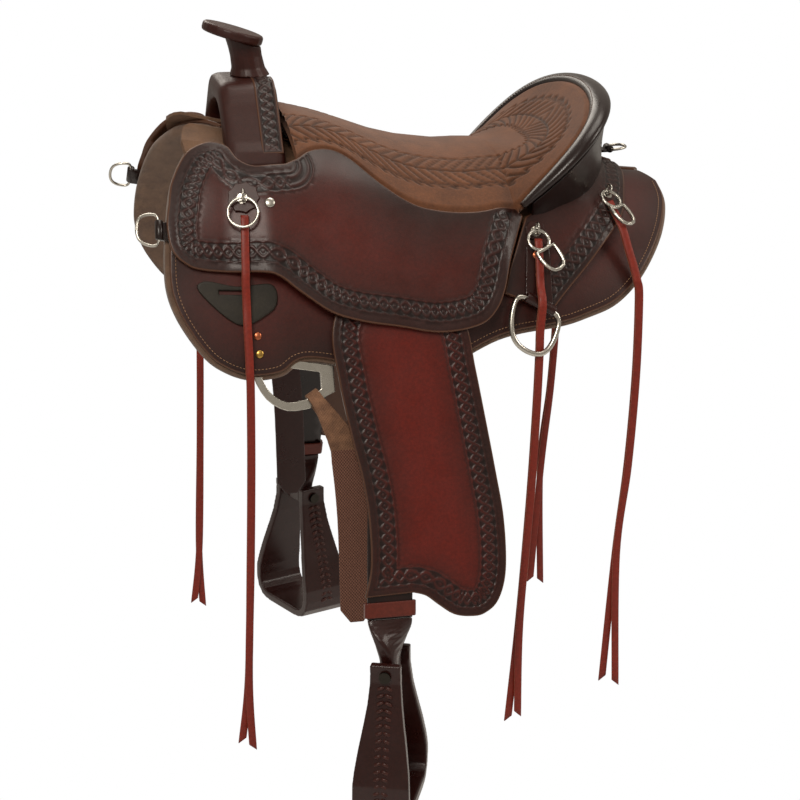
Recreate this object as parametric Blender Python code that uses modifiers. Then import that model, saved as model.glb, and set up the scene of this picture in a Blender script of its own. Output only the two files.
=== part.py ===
"""Mule saddle: a western trail saddle with its near (left) and off (right) side.

Metres, +Z up. The front of the saddle points to -X and the near side to -Y. The
origin is on the middle line, where the saddle rests on a rack or on the animal's back.
"""

import math
from functools import lru_cache

import bmesh
import bpy
import numpy as np
from mathutils import Matrix, Vector

# Sides, as the sign of Y
SIDES = {"near": -1, "off": 1}

# Gap between leathers that lie on each other, corners closer than this are one, and a pin's clearance
GAP = 0.0006
WELD = 0.00008
PIN_CLEARANCE = 0.0004

# Thicknesses
FELT_THICK = 0.009
SKIRT_THICK = 0.005
JOCKEY_THICK = 0.005
BACK_JOCKEY_THICK = 0.0045
KEEPER_THICK = 0.0035
PAD_THICK = 0.011
GROUND_SEAT_THICK = 0.004
COVER_THICK = 0.004
RIG_STRAP_THICK = 0.0045
THONG_THICK = 0.0026
BAR_EDGE_THICK = 0.003
BAR_SWELL = 0.015
BAR_TAPER = (0.020, 0.150)

# Room under the jockeys: for the tree, and for the fender with its strap
JOCKEY_LIFT = 0.003
TREE_LIFT = 0.021
FENDER_ROOM = 0.015
FELT_SHOW = 0.006

# The back line and the side of the body, at five stations along the saddle
STATION_X = (-0.350, -0.200, 0.0, 0.150, 0.300)
RIDGE_Z = (0.096, 0.060, 0.012, 0.004, -0.010)
SHOULDER = ((0.070, 0.078), (0.070, 0.044), (0.080, -0.002), (0.078, -0.009), (0.062, -0.024))
FLANK = ((0.155, -0.008), (0.158, -0.033), (0.160, -0.060), (0.152, -0.062), (0.128, -0.068))
LOIN = ((0.196, -0.095), (0.203, -0.110), (0.206, -0.132), (0.192, -0.122), (0.165, -0.116))
HEM = ((0.230, -0.190), (0.234, -0.200), (0.234, -0.215), (0.214, -0.190), (0.193, -0.174))
COLUMN_STEP = 0.05
ROW_STEP = 0.04
BODY_COLUMNS = [round(-0.36 + COLUMN_STEP * i, 3) for i in range(15)]
BODY_ROWS = [round(ROW_STEP * i, 3) for i in range(12)]

# Outlines on the body, as (place along the saddle, distance down its side)
SEAT_EDGE = (
    (-0.158, 0.112), (-0.140, 0.097), (-0.115, 0.091), (-0.092, 0.101), (-0.060, 0.130),
    (-0.025, 0.151), (0.011, 0.158), (0.060, 0.158), (0.107, 0.148),
)
JOCKEY_EDGE = (
    (0.116, 0.155), (0.102, 0.186), (0.091, 0.211), (0.081, 0.242), (0.069, 0.264),
    (0.047, 0.281), (0.000, 0.291), (-0.050, 0.289), (-0.097, 0.288), (-0.132, 0.282),
    (-0.165, 0.264), (-0.187, 0.250), (-0.209, 0.247), (-0.272, 0.251), (-0.294, 0.246),
    (-0.308, 0.232), (-0.312, 0.205), (-0.308, 0.178), (-0.302, 0.148), (-0.285, 0.112),
    (-0.267, 0.098), (-0.250, 0.094), (-0.236, 0.100), (-0.227, 0.117), (-0.214, 0.127),
    (-0.200, 0.128), (-0.173, 0.122),
)
SKIRT_TOP = 0.008
SKIRT_EDGE = (
    (-0.268, 0.080), (-0.292, 0.136), (-0.306, 0.208), (-0.311, 0.255), (-0.309, 0.285),
    (-0.298, 0.314), (-0.277, 0.344), (-0.257, 0.359), (-0.227, 0.366), (-0.191, 0.358),
    (-0.155, 0.336), (-0.060, 0.338), (0.000, 0.328), (0.076, 0.292), (0.153, 0.275),
    (0.193, 0.259), (0.227, 0.240), (0.256, 0.211), (0.281, 0.175), (0.305, 0.127),
    (0.320, 0.080), (0.322, 0.040),
)
SKIRT_FRONT_X = -0.225
SKIRT_REAR_X = 0.308
BACK_JOCKEY_EDGE = (
    (0.276, 0.040), (0.264, 0.085), (0.246, 0.135), (0.206, 0.187), (0.152, 0.250),
)
BAR_EDGE = (
    (-0.280, 0.062), (-0.268, 0.040), (-0.200, 0.034), (0.000, 0.036), (0.200, 0.034),
    (0.238, 0.045), (0.246, 0.080), (0.234, 0.122), (0.180, 0.148), (0.060, 0.160),
    (-0.100, 0.165), (-0.200, 0.160), (-0.258, 0.140), (-0.280, 0.100),
)
KEEPER_EDGE = (
    (-0.272, 0.263), (-0.235, 0.264), (-0.196, 0.256), (-0.189, 0.272), (-0.199, 0.290),
    (-0.236, 0.309), (-0.279, 0.277),
)
KEEPER_SLOT = ((-0.257, 0.2715), (-0.257, 0.2765), (-0.223, 0.2725), (-0.223, 0.2675))
JOCKEY_PARTING = 0.003

# Seat: height along the middle line
CREST_X = (-0.158, -0.115, -0.076, -0.035, 0.0, 0.050, 0.110)
CREST_Z = (0.089, 0.077, 0.065, 0.050, 0.041, 0.034, 0.034)
CROWN_POWER = 2.2
SEAT_STEPS = 5
GROUND_STEPS = 3
SEAT_LEAN = 0.75

# Cantle: the rim, the dish before it and the line where its back meets the back jockeys
CANTLE_FOOT_X = 0.112
CANTLE_REACH = 0.114
CANTLE_HALF_WIDTH = 0.160
CANTLE_FOOT_Z = -0.014
CANTLE_RISE = 0.116
CANTLE_BOW = 0.48
CANTLE_STEPS = 16
DISH_X = SEAT_EDGE[-1][0]
DISH_POWER = 2.3
ROLL_HALF_WIDTH = 0.013
ROLL_HALF_HEIGHT = 0.0075
ROLL_SINK = 0.002
CANTLE_BASE = (
    (0.122, 0.153), (0.143, 0.149), (0.163, 0.139), (0.184, 0.128), (0.208, 0.108),
    (0.233, 0.070), (0.250, 0.030), (0.254, 0.0),
)
CANTLE_BACK_THICK = 0.0035
BACK_JOCKEY_TUCK = 0.005
BOARD_SPAN = 0.55
BOARD_TUCK = 0.025
BOARD_ROOM = 0.0015
BOARD_NARROWING = 0.030
BOARD_UNDER_PAD = 0.003
BOARD_DROP = 0.022

# Fork and horn
FORK_FRONT_X = -0.232
FORK_REAR_X = -0.161
FORK_TOP_Z = 0.125
FORK_ROUND = 0.010
FORK_OUTSIDE = (
    (0.0, 0.0), (0.030, 0.0), (0.045, -0.003), (0.057, -0.013), (0.075, -0.034), (0.100, -0.063),
    (0.119, -0.085),
)
GULLET = ((0.064, -0.070), (0.048, -0.045), (0.026, -0.034), (0.0, -0.030))
FORK_FOOT_Y = (0.066, 0.121)
FORK_FOOT_Z = 0.004
NECK_LIFT = 0.0010
HORN_X = -0.187
HORN_LEAN = 0.007
HORN_NECK_HEIGHT = 0.042
HORN_NECK_R = 0.0195
HORN_BASE_R = 0.025
HORN_CAP_R = 0.038
HORN_CAP_THICK = 0.012
HORN_CAP_FORWARD = 0.0155
HORN_CAP_PITCH = math.radians(17)
HORN_CAP_ROUND = 0.003
HORN_CORE_R = 0.010
HORN_FLANGE_R = 0.0145
HORN_FLANGE_THICK = 0.005
HORN_DISC_R = 0.026
HORN_DISC_THICK = 0.004

# Fender and what hangs from it
FENDER_THICK = 0.0048
FENDER_STRAP_THICK = 0.0045
FENDER_PIVOT_X = -0.045
FENDER_PIVOT_DOWN = 0.165
FENDER_ON_BAR = 0.0052
FENDER_BEND_DOWN = 0.300
FENDER_LEAN = math.radians(16)
FENDER_EDGE = (
    (-0.100, 0.235), (-0.128, 0.285), (-0.124, 0.345), (-0.113, 0.412), (-0.103, 0.462),
    (-0.098, 0.510), (-0.099, 0.565), (-0.108, 0.601, True), (-0.050, 0.599, True),
    (-0.035, 0.604), (-0.020, 0.616),
    (-0.003, 0.628), (0.016, 0.632), (0.034, 0.630), (0.052, 0.615), (0.063, 0.580),
    (0.064, 0.520), (0.057, 0.460), (0.047, 0.388), (0.040, 0.340), (0.031, 0.285),
    (0.005, 0.235), (-0.045, 0.222),
)
STRAP_WIDTH = 0.054
STRAP_TOP = 0.162
STRAP_LOW_X = -0.079
STRAP_HIGH_X = -0.050
STRAP_END = 0.628
HOBBLE_THICK = 0.003
HOBBLE_HEIGHT = 0.018
LEATHER_LOOP_WIDTH = 0.044
LEATHER_DROP = 0.058
STIRRUP_YAW = math.radians(22)
STIRRUP_HEIGHT = 0.172
STIRRUP_FOOT_WIDTH = 0.118
STIRRUP_TOP_WIDTH = 0.052
STIRRUP_WALL = 0.011
STIRRUP_LEAF = 0.068
STIRRUP_LEAF_TOP = 0.036
STIRRUP_EAR = 0.014
BOLT_R = 0.004
BOLT_HEAD_R = 0.007
BOLT_HEAD_THICK = 0.003

# Rigging, dees and rings
RIG_PLATE_THICK = 0.004
RIG_PLATE_OUT = (
    (-0.2225, 0.3415), (-0.2225, 0.366), (-0.208, 0.392), (-0.184, 0.402), (-0.158, 0.396),
    (-0.148, 0.3875), (-0.138, 0.379), (-0.1265, 0.372), (-0.1265, 0.3415),
)
RIG_PLATE_IN = (
    (-0.2125, 0.3515), (-0.2125, 0.366), (-0.202, 0.384), (-0.184, 0.392), (-0.162, 0.386),
    (-0.1525, 0.3785), (-0.1429, 0.3709), (-0.143, 0.362), (-0.143, 0.3515),
)
RIG_PLATE_ROUND = 5
RIG_PLATE_STEPS = 3
RIG_PLATE_TOP_STEPS = 8
RIG_STRAP = ((0.114, 0.190), (0.142, 0.187))
LOOP_WALL = 0.0025
REAR_DEE_WIRE = 0.0035
REAR_DEE_BAR = ((0.098, 0.2436), (0.149, 0.2664))
REAR_DEE_LOW = (0.104, 0.312)
REAR_LOOP = (0.20, 0.86)
BREAST_DEE_WIRE = 0.002
BREAST_DEE_BAR = ((-0.3195, 0.190), (-0.3215, 0.228))
BREAST_DEE_LOW = (-0.347, 0.212)
BREAST_LOOP = (0.20, 0.80)
BREAST_TAB_LIFT = 0.002
BREAST_TAB_THICK = 0.004
CRUPPER_DEE_WIRE = 0.002
CRUPPER_DEE_AT = (0.270, 0.0175)
CRUPPER_DEE_HALF = 0.014
CRUPPER_DEE_REACH = 0.022
CRUPPER_TAB_HALF = 0.009
CRUPPER_TAB_THICK = 0.004
STRING_WIRE = 0.0019
EYE_R = 0.0066
EYE_WIRE = 0.0016
EYE_SINK = 0.0012
ROSETTE_THICK = 0.003
ROSETTE_LOBES = 9

# Latigo and billet: the place where they hang on the rigging plate, and their fall
LATIGO_THICK = 0.003
LATIGO_ROOM = 0.0045
LATIGO_TOP_WIDTH = 0.016
LATIGO_WIDTH = 0.040
LATIGO_AT = (-0.1515, 0.3825)
LATIGO_BAR = (0.74, -0.67)
LATIGO_BAR_HALF = 0.0050
LATIGO_TAIL = 0.045
LATIGO_FALL = ((-0.118, 0.060), (-0.112, 0.090), (-0.107, 0.150), (-0.105, 0.220), (-0.104, 0.285))

# Saddle strings: the rosette's place and size, its ring, the dee on the ring if any, the
# thong's route down the side (place, and height of its middle over the leather), the drop
# below that, and its two tips
THONG_WIDTH = 0.009
THONG_SPREAD = 0.0016
THONG_LIFT = 0.0042
STRINGS = {
    "front": {
        "at": (-0.224, 0.168), "rosette": 0.018, "ring": 0.018, "dee": None, "on": "jockey",
        "route": ((-0.2245, 0.1885, THONG_LIFT), (-0.225, 0.215, THONG_LIFT),
                  (-0.226, 0.247, THONG_LIFT), (-0.2265, 0.262, 0.0012), (-0.2265, 0.285, -0.0040),
                  (-0.227, 0.309, -0.0048), (-0.227, 0.340, -0.0065), (-0.2275, 0.366, -0.0075)),
        "hang": ((-0.227, 0.020), (-0.228, 0.110), (-0.231, 0.230), (-0.236, 0.380)),
        "tips": ((-0.245, 0.462), (-0.233, 0.470)),
    },
    "rear": {
        "at": (0.128, 0.172), "rosette": 0.012, "ring": 0.013, "dee": 0.030, "on": "back",
        "route": ((0.128, 0.1855, 0.0092), (0.127, 0.210, 0.0092), (0.1255, 0.236, 0.0110),
                  (0.1240, 0.2500, 0.0172), (0.1235, 0.2600, 0.0172)),
        "hang": ((0.123, 0.030), (0.1225, 0.060), (0.120, 0.130), (0.114, 0.245), (0.103, 0.400)),
        "tips": ((0.091, 0.530), (0.102, 0.523)),
    },
    "back": {
        "at": (0.228, 0.112), "rosette": 0.012, "ring": 0.013, "dee": 0.028, "on": "back",
        "route": ((0.2285, 0.1255, THONG_LIFT), (0.2335, 0.142, THONG_LIFT),
                  (0.2400, 0.158, 0.0042), (0.2455, 0.178, 0.0015), (0.2515, 0.198, -0.0005),
                  (0.2550, 0.214, -0.0015)),
        "hang": ((0.259, 0.022), (0.258, 0.120), (0.251, 0.235), (0.239, 0.350)),
        "tips": ((0.226, 0.520), (0.242, 0.526)),
    },
}
DEE_TURN = math.radians(-31)

for old in list(bpy.data.objects):
    bpy.data.objects.remove(old, do_unlink=True)
parts = bpy.data.collections.new("mule_saddle")
cutters = bpy.data.collections.new("cutters")
bpy.context.scene.collection.children.link(parts)
bpy.context.scene.collection.children.link(cutters)

# Colour, roughness and metallic value of each finish
FINISHES = {
    "skirting leather": ((0.075, 0.015, 0.010), 0.38, 0.0),
    "dark leather": ((0.025, 0.010, 0.008), 0.35, 0.0),
    "suede": ((0.20, 0.085, 0.035), 0.9, 0.0),
    "felt": ((0.16, 0.10, 0.06), 0.95, 0.0),
    "latigo leather": ((0.35, 0.045, 0.022), 0.5, 0.0),
    "olive leather": ((0.035, 0.030, 0.018), 0.45, 0.0),
    "nylon": ((0.16, 0.06, 0.04), 0.8, 0.0),
    "stainless": ((0.62, 0.62, 0.60), 0.25, 1.0),
    "wood": ((0.45, 0.30, 0.16), 0.7, 0.0),
}


def finish_material(name, finish):
    colour, roughness, metallic = FINISHES[finish]
    material = bpy.data.materials.new(name)
    material.use_nodes = True
    shader = material.node_tree.nodes["Principled BSDF"]
    shader.inputs["Base Color"].default_value = (*colour, 1.0)
    shader.inputs["Roughness"].default_value = roughness
    shader.inputs["Metallic"].default_value = metallic
    return material


def add_piece(name, bm, finish):
    """Turns a mesh into a named piece. With no finish it is a cutter, left out of the saddle."""
    bmesh.ops.recalc_face_normals(bm, faces=bm.faces)
    if bm.calc_volume(signed=True) < 0:
        bmesh.ops.reverse_faces(bm, faces=bm.faces)
    mesh = bpy.data.meshes.new(name)
    bm.to_mesh(mesh)
    bm.free()
    piece = bpy.data.objects.new(name, mesh)
    if finish:
        parts.objects.link(piece)
        mesh.materials.append(finish_material(name, finish))
    else:
        cutters.objects.link(piece)
        piece.hide_render = True
        piece.display_type = "WIRE"
    return piece


def combine(piece, other, operation):
    modifier = piece.modifiers.new(f"{operation.lower()} {other.name}", "BOOLEAN")
    modifier.operation = operation
    modifier.object = other


def put_origin(piece, point):
    """Moves a piece's origin to its joint without moving the piece."""
    piece.data.transform(Matrix.Translation(-point))
    piece.location = point


def cylinder(name, radius, start, end, finish, sides=24):
    bm = bmesh.new()
    axis = end - start
    turn = Vector((0, 0, 1)).rotation_difference(axis).to_matrix().to_4x4()
    bmesh.ops.create_cone(
        bm, cap_ends=True, segments=sides, radius1=radius, radius2=radius,
        depth=axis.length, matrix=Matrix.Translation((start + end) / 2) @ turn,
    )
    return add_piece(name, bm, finish)


def smooth_path(points, steps, closed=False):
    """Points on a smooth curve through the given ones, with some steps between each two."""
    points = [Vector(p) for p in points]
    count = len(points)
    path = []
    for i in range(count if closed else count - 1):
        a, b, c, d = (
            points[k % count] if closed else points[min(max(k, 0), count - 1)]
            for k in (i - 1, i, i + 1, i + 2)
        )
        for step in range(steps):
            t = step / steps
            path.append(
                0.5 * (2 * b + (c - a) * t + (2 * a - 5 * b + 4 * c - d) * t**2
                       + (3 * b - a - 3 * c + d) * t**3)
            )
    if not closed:
        path.append(points[-1])
    return path


def grown(points, by):
    """An outline moved outwards by a distance, whichever way round it runs."""
    count = len(points)
    area = sum(
        points[i - 1][0] * points[i][1] - points[i][0] * points[i - 1][1] for i in range(count)
    )
    sign = 1 if area > 0 else -1
    moved = []
    for i, point in enumerate(points):
        before, after = points[i - 1], points[(i + 1) % count]
        along = Vector((after[0] - before[0], after[1] - before[1])).normalized()
        moved.append((point[0] + sign * by * along.y, point[1] - sign * by * along.x, *point[2:]))
    return moved


def corners(points):
    """Marks points as sharp corners of an outline."""
    return [(p[0], p[1], True) for p in points]


def outline_mesh(outlines, steps=2):
    """A slab one unit thick from closed outlines; a point marked True is a corner."""
    curve = bpy.data.curves.new("outline", "CURVE")
    curve.dimensions = "2D"
    curve.fill_mode = "BOTH"
    curve.extrude = 0.5
    curve.resolution_u = steps
    for points in outlines:
        spline = curve.splines.new("BEZIER")
        spline.bezier_points.add(len(points) - 1)
        spline.use_cyclic_u = True
        for knot, point in zip(spline.bezier_points, points):
            knot.co = (point[0], point[1], 0)
            kind = "VECTOR" if len(point) == 3 else "AUTO"
            knot.handle_left_type = kind
            knot.handle_right_type = kind
    guide = bpy.data.objects.new("outline", curve)
    cutters.objects.link(guide)
    bpy.context.view_layer.update()
    graph = bpy.context.evaluated_depsgraph_get()
    mesh = bpy.data.meshes.new_from_object(guide.evaluated_get(graph))
    bpy.data.objects.remove(guide)
    bm = bmesh.new()
    bm.from_mesh(mesh)
    bpy.data.meshes.remove(mesh)
    bmesh.ops.remove_doubles(bm, verts=bm.verts, dist=1e-5)
    bmesh.ops.dissolve_limit(bm, angle_limit=1e-3, verts=bm.verts, edges=bm.edges)
    return bm


def tube(name, points, wire, finish, closed=True):
    """Round wire along points, as a piece."""
    curve = bpy.data.curves.new(name, "CURVE")
    curve.dimensions = "3D"
    curve.bevel_depth = wire
    curve.bevel_resolution = 1
    curve.use_fill_caps = not closed
    spline = curve.splines.new("POLY")
    spline.points.add(len(points) - 1)
    spline.use_cyclic_u = closed
    for knot, point in zip(spline.points, points):
        knot.co = (*point, 1)
    guide = bpy.data.objects.new(name, curve)
    cutters.objects.link(guide)
    bpy.context.view_layer.update()
    graph = bpy.context.evaluated_depsgraph_get()
    mesh = bpy.data.meshes.new_from_object(guide.evaluated_get(graph))
    bpy.data.objects.remove(guide)
    bm = bmesh.new()
    bm.from_mesh(mesh)
    bpy.data.meshes.remove(mesh)
    bmesh.ops.remove_doubles(bm, verts=bm.verts, dist=1e-5)
    return add_piece(name, bm, finish)


def loft(name, rings, finish, closed=False):
    """A solid through rings that have as many points each."""
    bm = bmesh.new()
    rows = [[bm.verts.new(point) for point in ring] for ring in rings]
    pairs = list(zip(rows, rows[1:]))
    if closed:
        pairs.append((rows[-1], rows[0]))
    else:
        bm.faces.new(rows[0])
        bm.faces.new(reversed(rows[-1]))
    for first, second in pairs:
        for i in range(len(first)):
            bm.faces.new((first[i], first[i - 1], second[i - 1], second[i]))
    bmesh.ops.triangulate(bm, faces=bm.faces)
    return add_piece(name, bm, finish)


def smooth_step(start, end, value):
    share = min(max((value - start) / (end - start), 0.0), 1.0)
    return share * share * (3 - 2 * share)


def between_stations(row, x):
    """A smooth curve through one value at each station."""
    values = np.array(row, float)
    stations = np.array(STATION_X)
    slopes = np.gradient(values, stations, axis=0)
    if x <= stations[0]:
        return values[0] + slopes[0] * (x - stations[0])
    if x >= stations[-1]:
        return values[-1] + slopes[-1] * (x - stations[-1])
    i = int(np.searchsorted(stations, x) - 1)
    width = stations[i + 1] - stations[i]
    t = (x - stations[i]) / width
    return (
        (2 * t**3 - 3 * t**2 + 1) * values[i] + (t**3 - 2 * t**2 + t) * width * slopes[i]
        + (3 * t**2 - 2 * t**3) * values[i + 1] + (t**3 - t**2) * width * slopes[i + 1]
    )


@lru_cache(maxsize=None)
def section(x):
    """Half of the body's section at x: distance out, height, and distance down the side."""
    knots = [(0.0, float(between_stations(RIDGE_Z, x)))]
    knots += [tuple(between_stations(row, x)) for row in (SHOULDER, FLANK, LOIN, HEM)]
    mirrored = (-knots[1][0], knots[1][1])
    path = [Vector(p) for p in smooth_path([mirrored, *knots], 12)[12:]]
    fall = (path[-1] - Vector(knots[-2])).normalized()
    path.append(path[-1] + fall * 0.4)
    out = np.array([p.x for p in path])
    high = np.array([p.y for p in path])
    down = np.concatenate([[0.0], np.cumsum(np.hypot(np.diff(out), np.diff(high)))])
    return out, high, down


def body_point(x, s):
    out, high, down = section(round(x, 5))
    return (x, -float(np.interp(s, down, out)), float(np.interp(s, down, high)))


class Surface:
    """A curved surface that leather lies on, held as points and outward normals on a lattice."""

    def __init__(self, columns, rows, point):
        self.columns = columns
        self.rows = rows
        step = 0.002
        here = np.array([[point(u, v) for v in rows] for u in columns])
        along = np.array([[point(u + step, v) for v in rows] for u in columns]) - here
        down = np.array([[point(u, v + step) for v in rows] for u in columns]) - here
        normals = np.cross(down, along)
        self.points = here
        self.normals = normals / np.linalg.norm(normals, axis=2, keepdims=True)

    def place(self, u, v, depth=0.0, side=-1):
        """The point at (u, v), lifted off the surface by depth, on one side of the saddle."""
        i = min(max(int(np.searchsorted(self.columns, u)) - 1, 0), len(self.columns) - 2)
        j = min(max(int(np.searchsorted(self.rows, v)) - 1, 0), len(self.rows) - 2)
        share_u = (u - self.columns[i]) / (self.columns[i + 1] - self.columns[i])
        share_v = (v - self.rows[j]) / (self.rows[j + 1] - self.rows[j])

        def lifted(a, b):
            lift = depth(self.columns[a], self.rows[b]) if callable(depth) else depth
            return self.points[a, b] + self.normals[a, b] * lift

        after_u, after_v = lifted(i + 1, j), lifted(i, j + 1)
        if share_u + share_v <= 1:
            corner = lifted(i, j)
            total = corner + share_u * (after_u - corner) + share_v * (after_v - corner)
        else:
            corner = lifted(i + 1, j + 1)
            total = corner + (1 - share_u) * (after_v - corner) + (1 - share_v) * (after_u - corner)
        return Vector((total[0], -side * total[1], total[2]))

    def frame(self, u, v, depth=0.0, side=-1):
        """The point at (u, v) with its outward, rearward and downward directions."""
        step = 0.004
        here = self.place(u, v, depth, side)
        rear = (self.place(u + step, v, depth, side) - here).normalized()
        down = (self.place(u, v + step, depth, side) - here).normalized()
        out = down.cross(rear).normalized() * -side
        return here, out, rear, out.cross(rear) * (1 if out.cross(rear).z < 0 else -1)

    def wrap(self, name, outlines, inner, outer, side, finish, steps=2):
        """A sheet of leather with these outlines, lying between two depths.

        It is cut along the lattice and its diagonals, so that sheets at even depths stay parallel."""
        bm = outline_mesh(outlines, steps)
        first_u, first_v = self.columns[0], self.rows[0]
        step_u, step_v = self.columns[1] - first_u, self.rows[1] - first_v
        cuts = [((u, 0, 0), (1, 0, 0)) for u in self.columns]
        cuts += [((0, v, 0), (0, 1, 0)) for v in self.rows]
        cuts += [
            ((first_u + k * step_u, first_v, 0), (step_v, step_u, 0))
            for k in range(1, len(self.columns) + len(self.rows) - 2)
        ]
        for place, normal in cuts:
            whole = [*bm.verts, *bm.edges, *bm.faces]
            bmesh.ops.bisect_plane(bm, geom=whole, dist=1e-6, plane_co=place, plane_no=normal)
        bmesh.ops.remove_doubles(bm, verts=bm.verts, dist=WELD)
        bmesh.ops.dissolve_degenerate(bm, dist=WELD, edges=bm.edges)
        bmesh.ops.triangulate(bm, faces=bm.faces)
        for vert in bm.verts:
            depth = outer if vert.co.z > 0 else inner
            vert.co = self.place(vert.co.x, vert.co.y, depth, side)
        return add_piece(name, bm, finish)


body = Surface(BODY_COLUMNS, BODY_ROWS, body_point)


def tree_share(x, s):
    """How far the tree lifts the leather above it, from 0 to 1."""
    fore_aft = smooth_step(-0.330, -0.240, x) * (1 - smooth_step(0.200, 0.290, x))
    return fore_aft * (1 - smooth_step(0.120, 0.250, s))


def bar_top(x, s):
    return GAP + BAR_EDGE_THICK + BAR_SWELL * tree_share(x, s) * smooth_step(*BAR_TAPER, s)


def above_bar(x, s):
    return bar_top(x, s) + GAP


def back_under(x, s):
    return JOCKEY_LIFT + TREE_LIFT * tree_share(x, s)


def back_top(x, s):
    return back_under(x, s) + BACK_JOCKEY_THICK


def above_back(x, s):
    return back_top(x, s) + GAP


def jockey_under(x, s):
    fender = smooth_step(-0.250, -0.190, x) * (1 - smooth_step(0.080, 0.120, x))
    return back_under(x, s) + FENDER_ROOM * fender


def jockey_top(x, s):
    return jockey_under(x, s) + JOCKEY_THICK


def plate_room(x, s):
    """How far the felt is set back where the rigging plate lies between it and the skirt."""
    along = smooth_step(-0.320, -0.260, x) * (1 - smooth_step(-0.110, -0.040, x))
    return (RIG_PLATE_THICK + GAP) * along * smooth_step(0.280, 0.320, s)


def felt_top(x, s):
    return -SKIRT_THICK - GAP - plate_room(x, s)


def felt_under(x, s):
    return felt_top(x, s) - FELT_THICK


def make_skirts():
    outline = [(SKIRT_FRONT_X, SKIRT_TOP, True), *SKIRT_EDGE, (SKIRT_REAR_X, SKIRT_TOP, True)]
    for label, side in SIDES.items():
        body.wrap(f"skirt_{label}", [outline], -SKIRT_THICK, 0.0, side, "skirting leather")
        felt = [outline[0], *grown(SKIRT_EDGE, FELT_SHOW), outline[-1]]
        body.wrap(f"skirt_felt_{label}", [felt], felt_under, felt_top, side, "felt")


def make_jockeys():
    seat_edge = corners(smooth_path(SEAT_EDGE, 2))
    outline = [*seat_edge, (*JOCKEY_EDGE[0], True), *JOCKEY_EDGE[1:]]
    behind = [(x + JOCKEY_PARTING, s + JOCKEY_PARTING / 3, True) for x, s in JOCKEY_EDGE[3::-1]]
    tucked = [(x - BACK_JOCKEY_TUCK, s - BACK_JOCKEY_TUCK) for x, s in CANTLE_BASE[1:-1]]
    back = [
        *tucked, (CANTLE_BASE[-1][0] - BACK_JOCKEY_TUCK, SKIRT_TOP, True),
        (BACK_JOCKEY_EDGE[0][0], SKIRT_TOP, True), *BACK_JOCKEY_EDGE, (0.141, 0.264, True), *behind,
    ]
    for label, side in SIDES.items():
        body.wrap(f"seat_jockey_{label}", [outline], jockey_under, jockey_top, side, "skirting leather")
        body.wrap(f"back_jockey_{label}", [back], back_under, back_top, side, "dark leather")


def make_tree_bars():
    for label, side in SIDES.items():
        body.wrap(f"tree_bar_{label}", [BAR_EDGE], GAP, bar_top, side, "wood")


def below_all(x, s):
    return -0.010 - 0.040 * smooth_step(0.0, 0.090, s)


def make_room_cutters():
    """Solids that stand for the tree bars and the back jockeys where other pieces sit on them."""
    found = {}
    reach = corners([(-0.30, -0.004), (-0.30, 0.20), (0.32, 0.20), (0.32, -0.004)])
    for label, side in SIDES.items():
        for kind, top in (("bars", above_bar), ("back", above_back)):
            name = f"room_for_{kind}_{label}"
            found[kind, label] = body.wrap(name, [reach], below_all, top, side, None)
    return found


def cut_room(piece, rooms, kind):
    for label in SIDES:
        combine(piece, rooms[kind, label], "DIFFERENCE")


def rim_point(w):
    """The cantle's rim, from the near foot at w = -1 over the top to the off foot at w = 1."""
    turn = math.copysign(1 - (1 - abs(w)) ** 2, w) * math.pi / 2
    bow = max(math.cos(turn), 0.0) ** CANTLE_BOW
    return Vector((
        CANTLE_FOOT_X + CANTLE_REACH * bow, CANTLE_HALF_WIDTH * math.sin(turn),
        CANTLE_FOOT_Z + CANTLE_RISE * bow,
    ))


def rim_outward(w):
    away = rim_point(w) - Vector((DISH_X, 0, 0))
    return Vector((away.x, away.y, 0)).normalized()


def crest(x):
    return Vector((x, 0, float(np.interp(x, CREST_X, CREST_Z))))


def seat_rows():
    """The seat's rows, each from the middle to the edge: near side, round the cantle, off side."""
    edge = smooth_path(SEAT_EDGE, 2)
    beside = [
        (crest(p.x), body.place(p.x, p.y - 1.6 * GAP, jockey_top), CROWN_POWER, 1.0) for p in edge
    ]
    cantle = []
    for i in range(CANTLE_STEPS + 1):
        w = 2 * i / CANTLE_STEPS - 1
        lean = 1 - math.cos(rim_outward(w).angle(Vector((1, 0, 0))))
        cantle.append((crest(DISH_X), rim_point(w), DISH_POWER, min(lean, 1.0)))
    far = [
        (middle, Vector((rim.x, -rim.y, rim.z)), power, lean)
        for middle, rim, power, lean in reversed(beside)
    ]
    return beside + cantle + far


def seat_point(row, t, drop):
    """A point of the seat at a share t from its middle to its edge, a drop below its top."""
    middle, rim, power, lean = row
    level = Vector((rim.x - middle.x, rim.y - middle.y, 0))
    inward = level.normalized() * (-SEAT_LEAN * lean * t * drop)
    height = middle.z + (rim.z - middle.z) * t**power - drop
    return Vector((middle.x + level.x * t, middle.y + level.y * t, height)) + inward


def seat_slab(name, top_drop, thick, reach, finish):
    """A sheet that follows the seat, from one drop below its top to another."""
    rows = seat_rows()
    bm = bmesh.new()
    layers = []
    for drop in (top_drop, top_drop + thick):
        layers.append([
            [bm.verts.new(seat_point(row, k / SEAT_STEPS, drop)) for k in range(reach + 1)]
            for row in rows
        ])
    for layer in layers:
        for first, second in zip(layer, layer[1:]):
            for k in range(reach):
                bm.faces.new((first[k], first[k + 1], second[k + 1], second[k]))
    top, bottom = layers
    for r in range(len(rows) - 1):
        bm.faces.new((top[r][-1], top[r + 1][-1], bottom[r + 1][-1], bottom[r][-1]))
    for r in (0, -1):
        for k in range(reach):
            bm.faces.new((top[r][k], top[r][k + 1], bottom[r][k + 1], bottom[r][k]))
    bmesh.ops.remove_doubles(bm, verts=bm.verts, dist=1e-5)
    bmesh.ops.dissolve_degenerate(bm, dist=1e-5, edges=bm.edges)
    bmesh.ops.triangulate(bm, faces=bm.faces)
    return add_piece(name, bm, finish)


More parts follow.
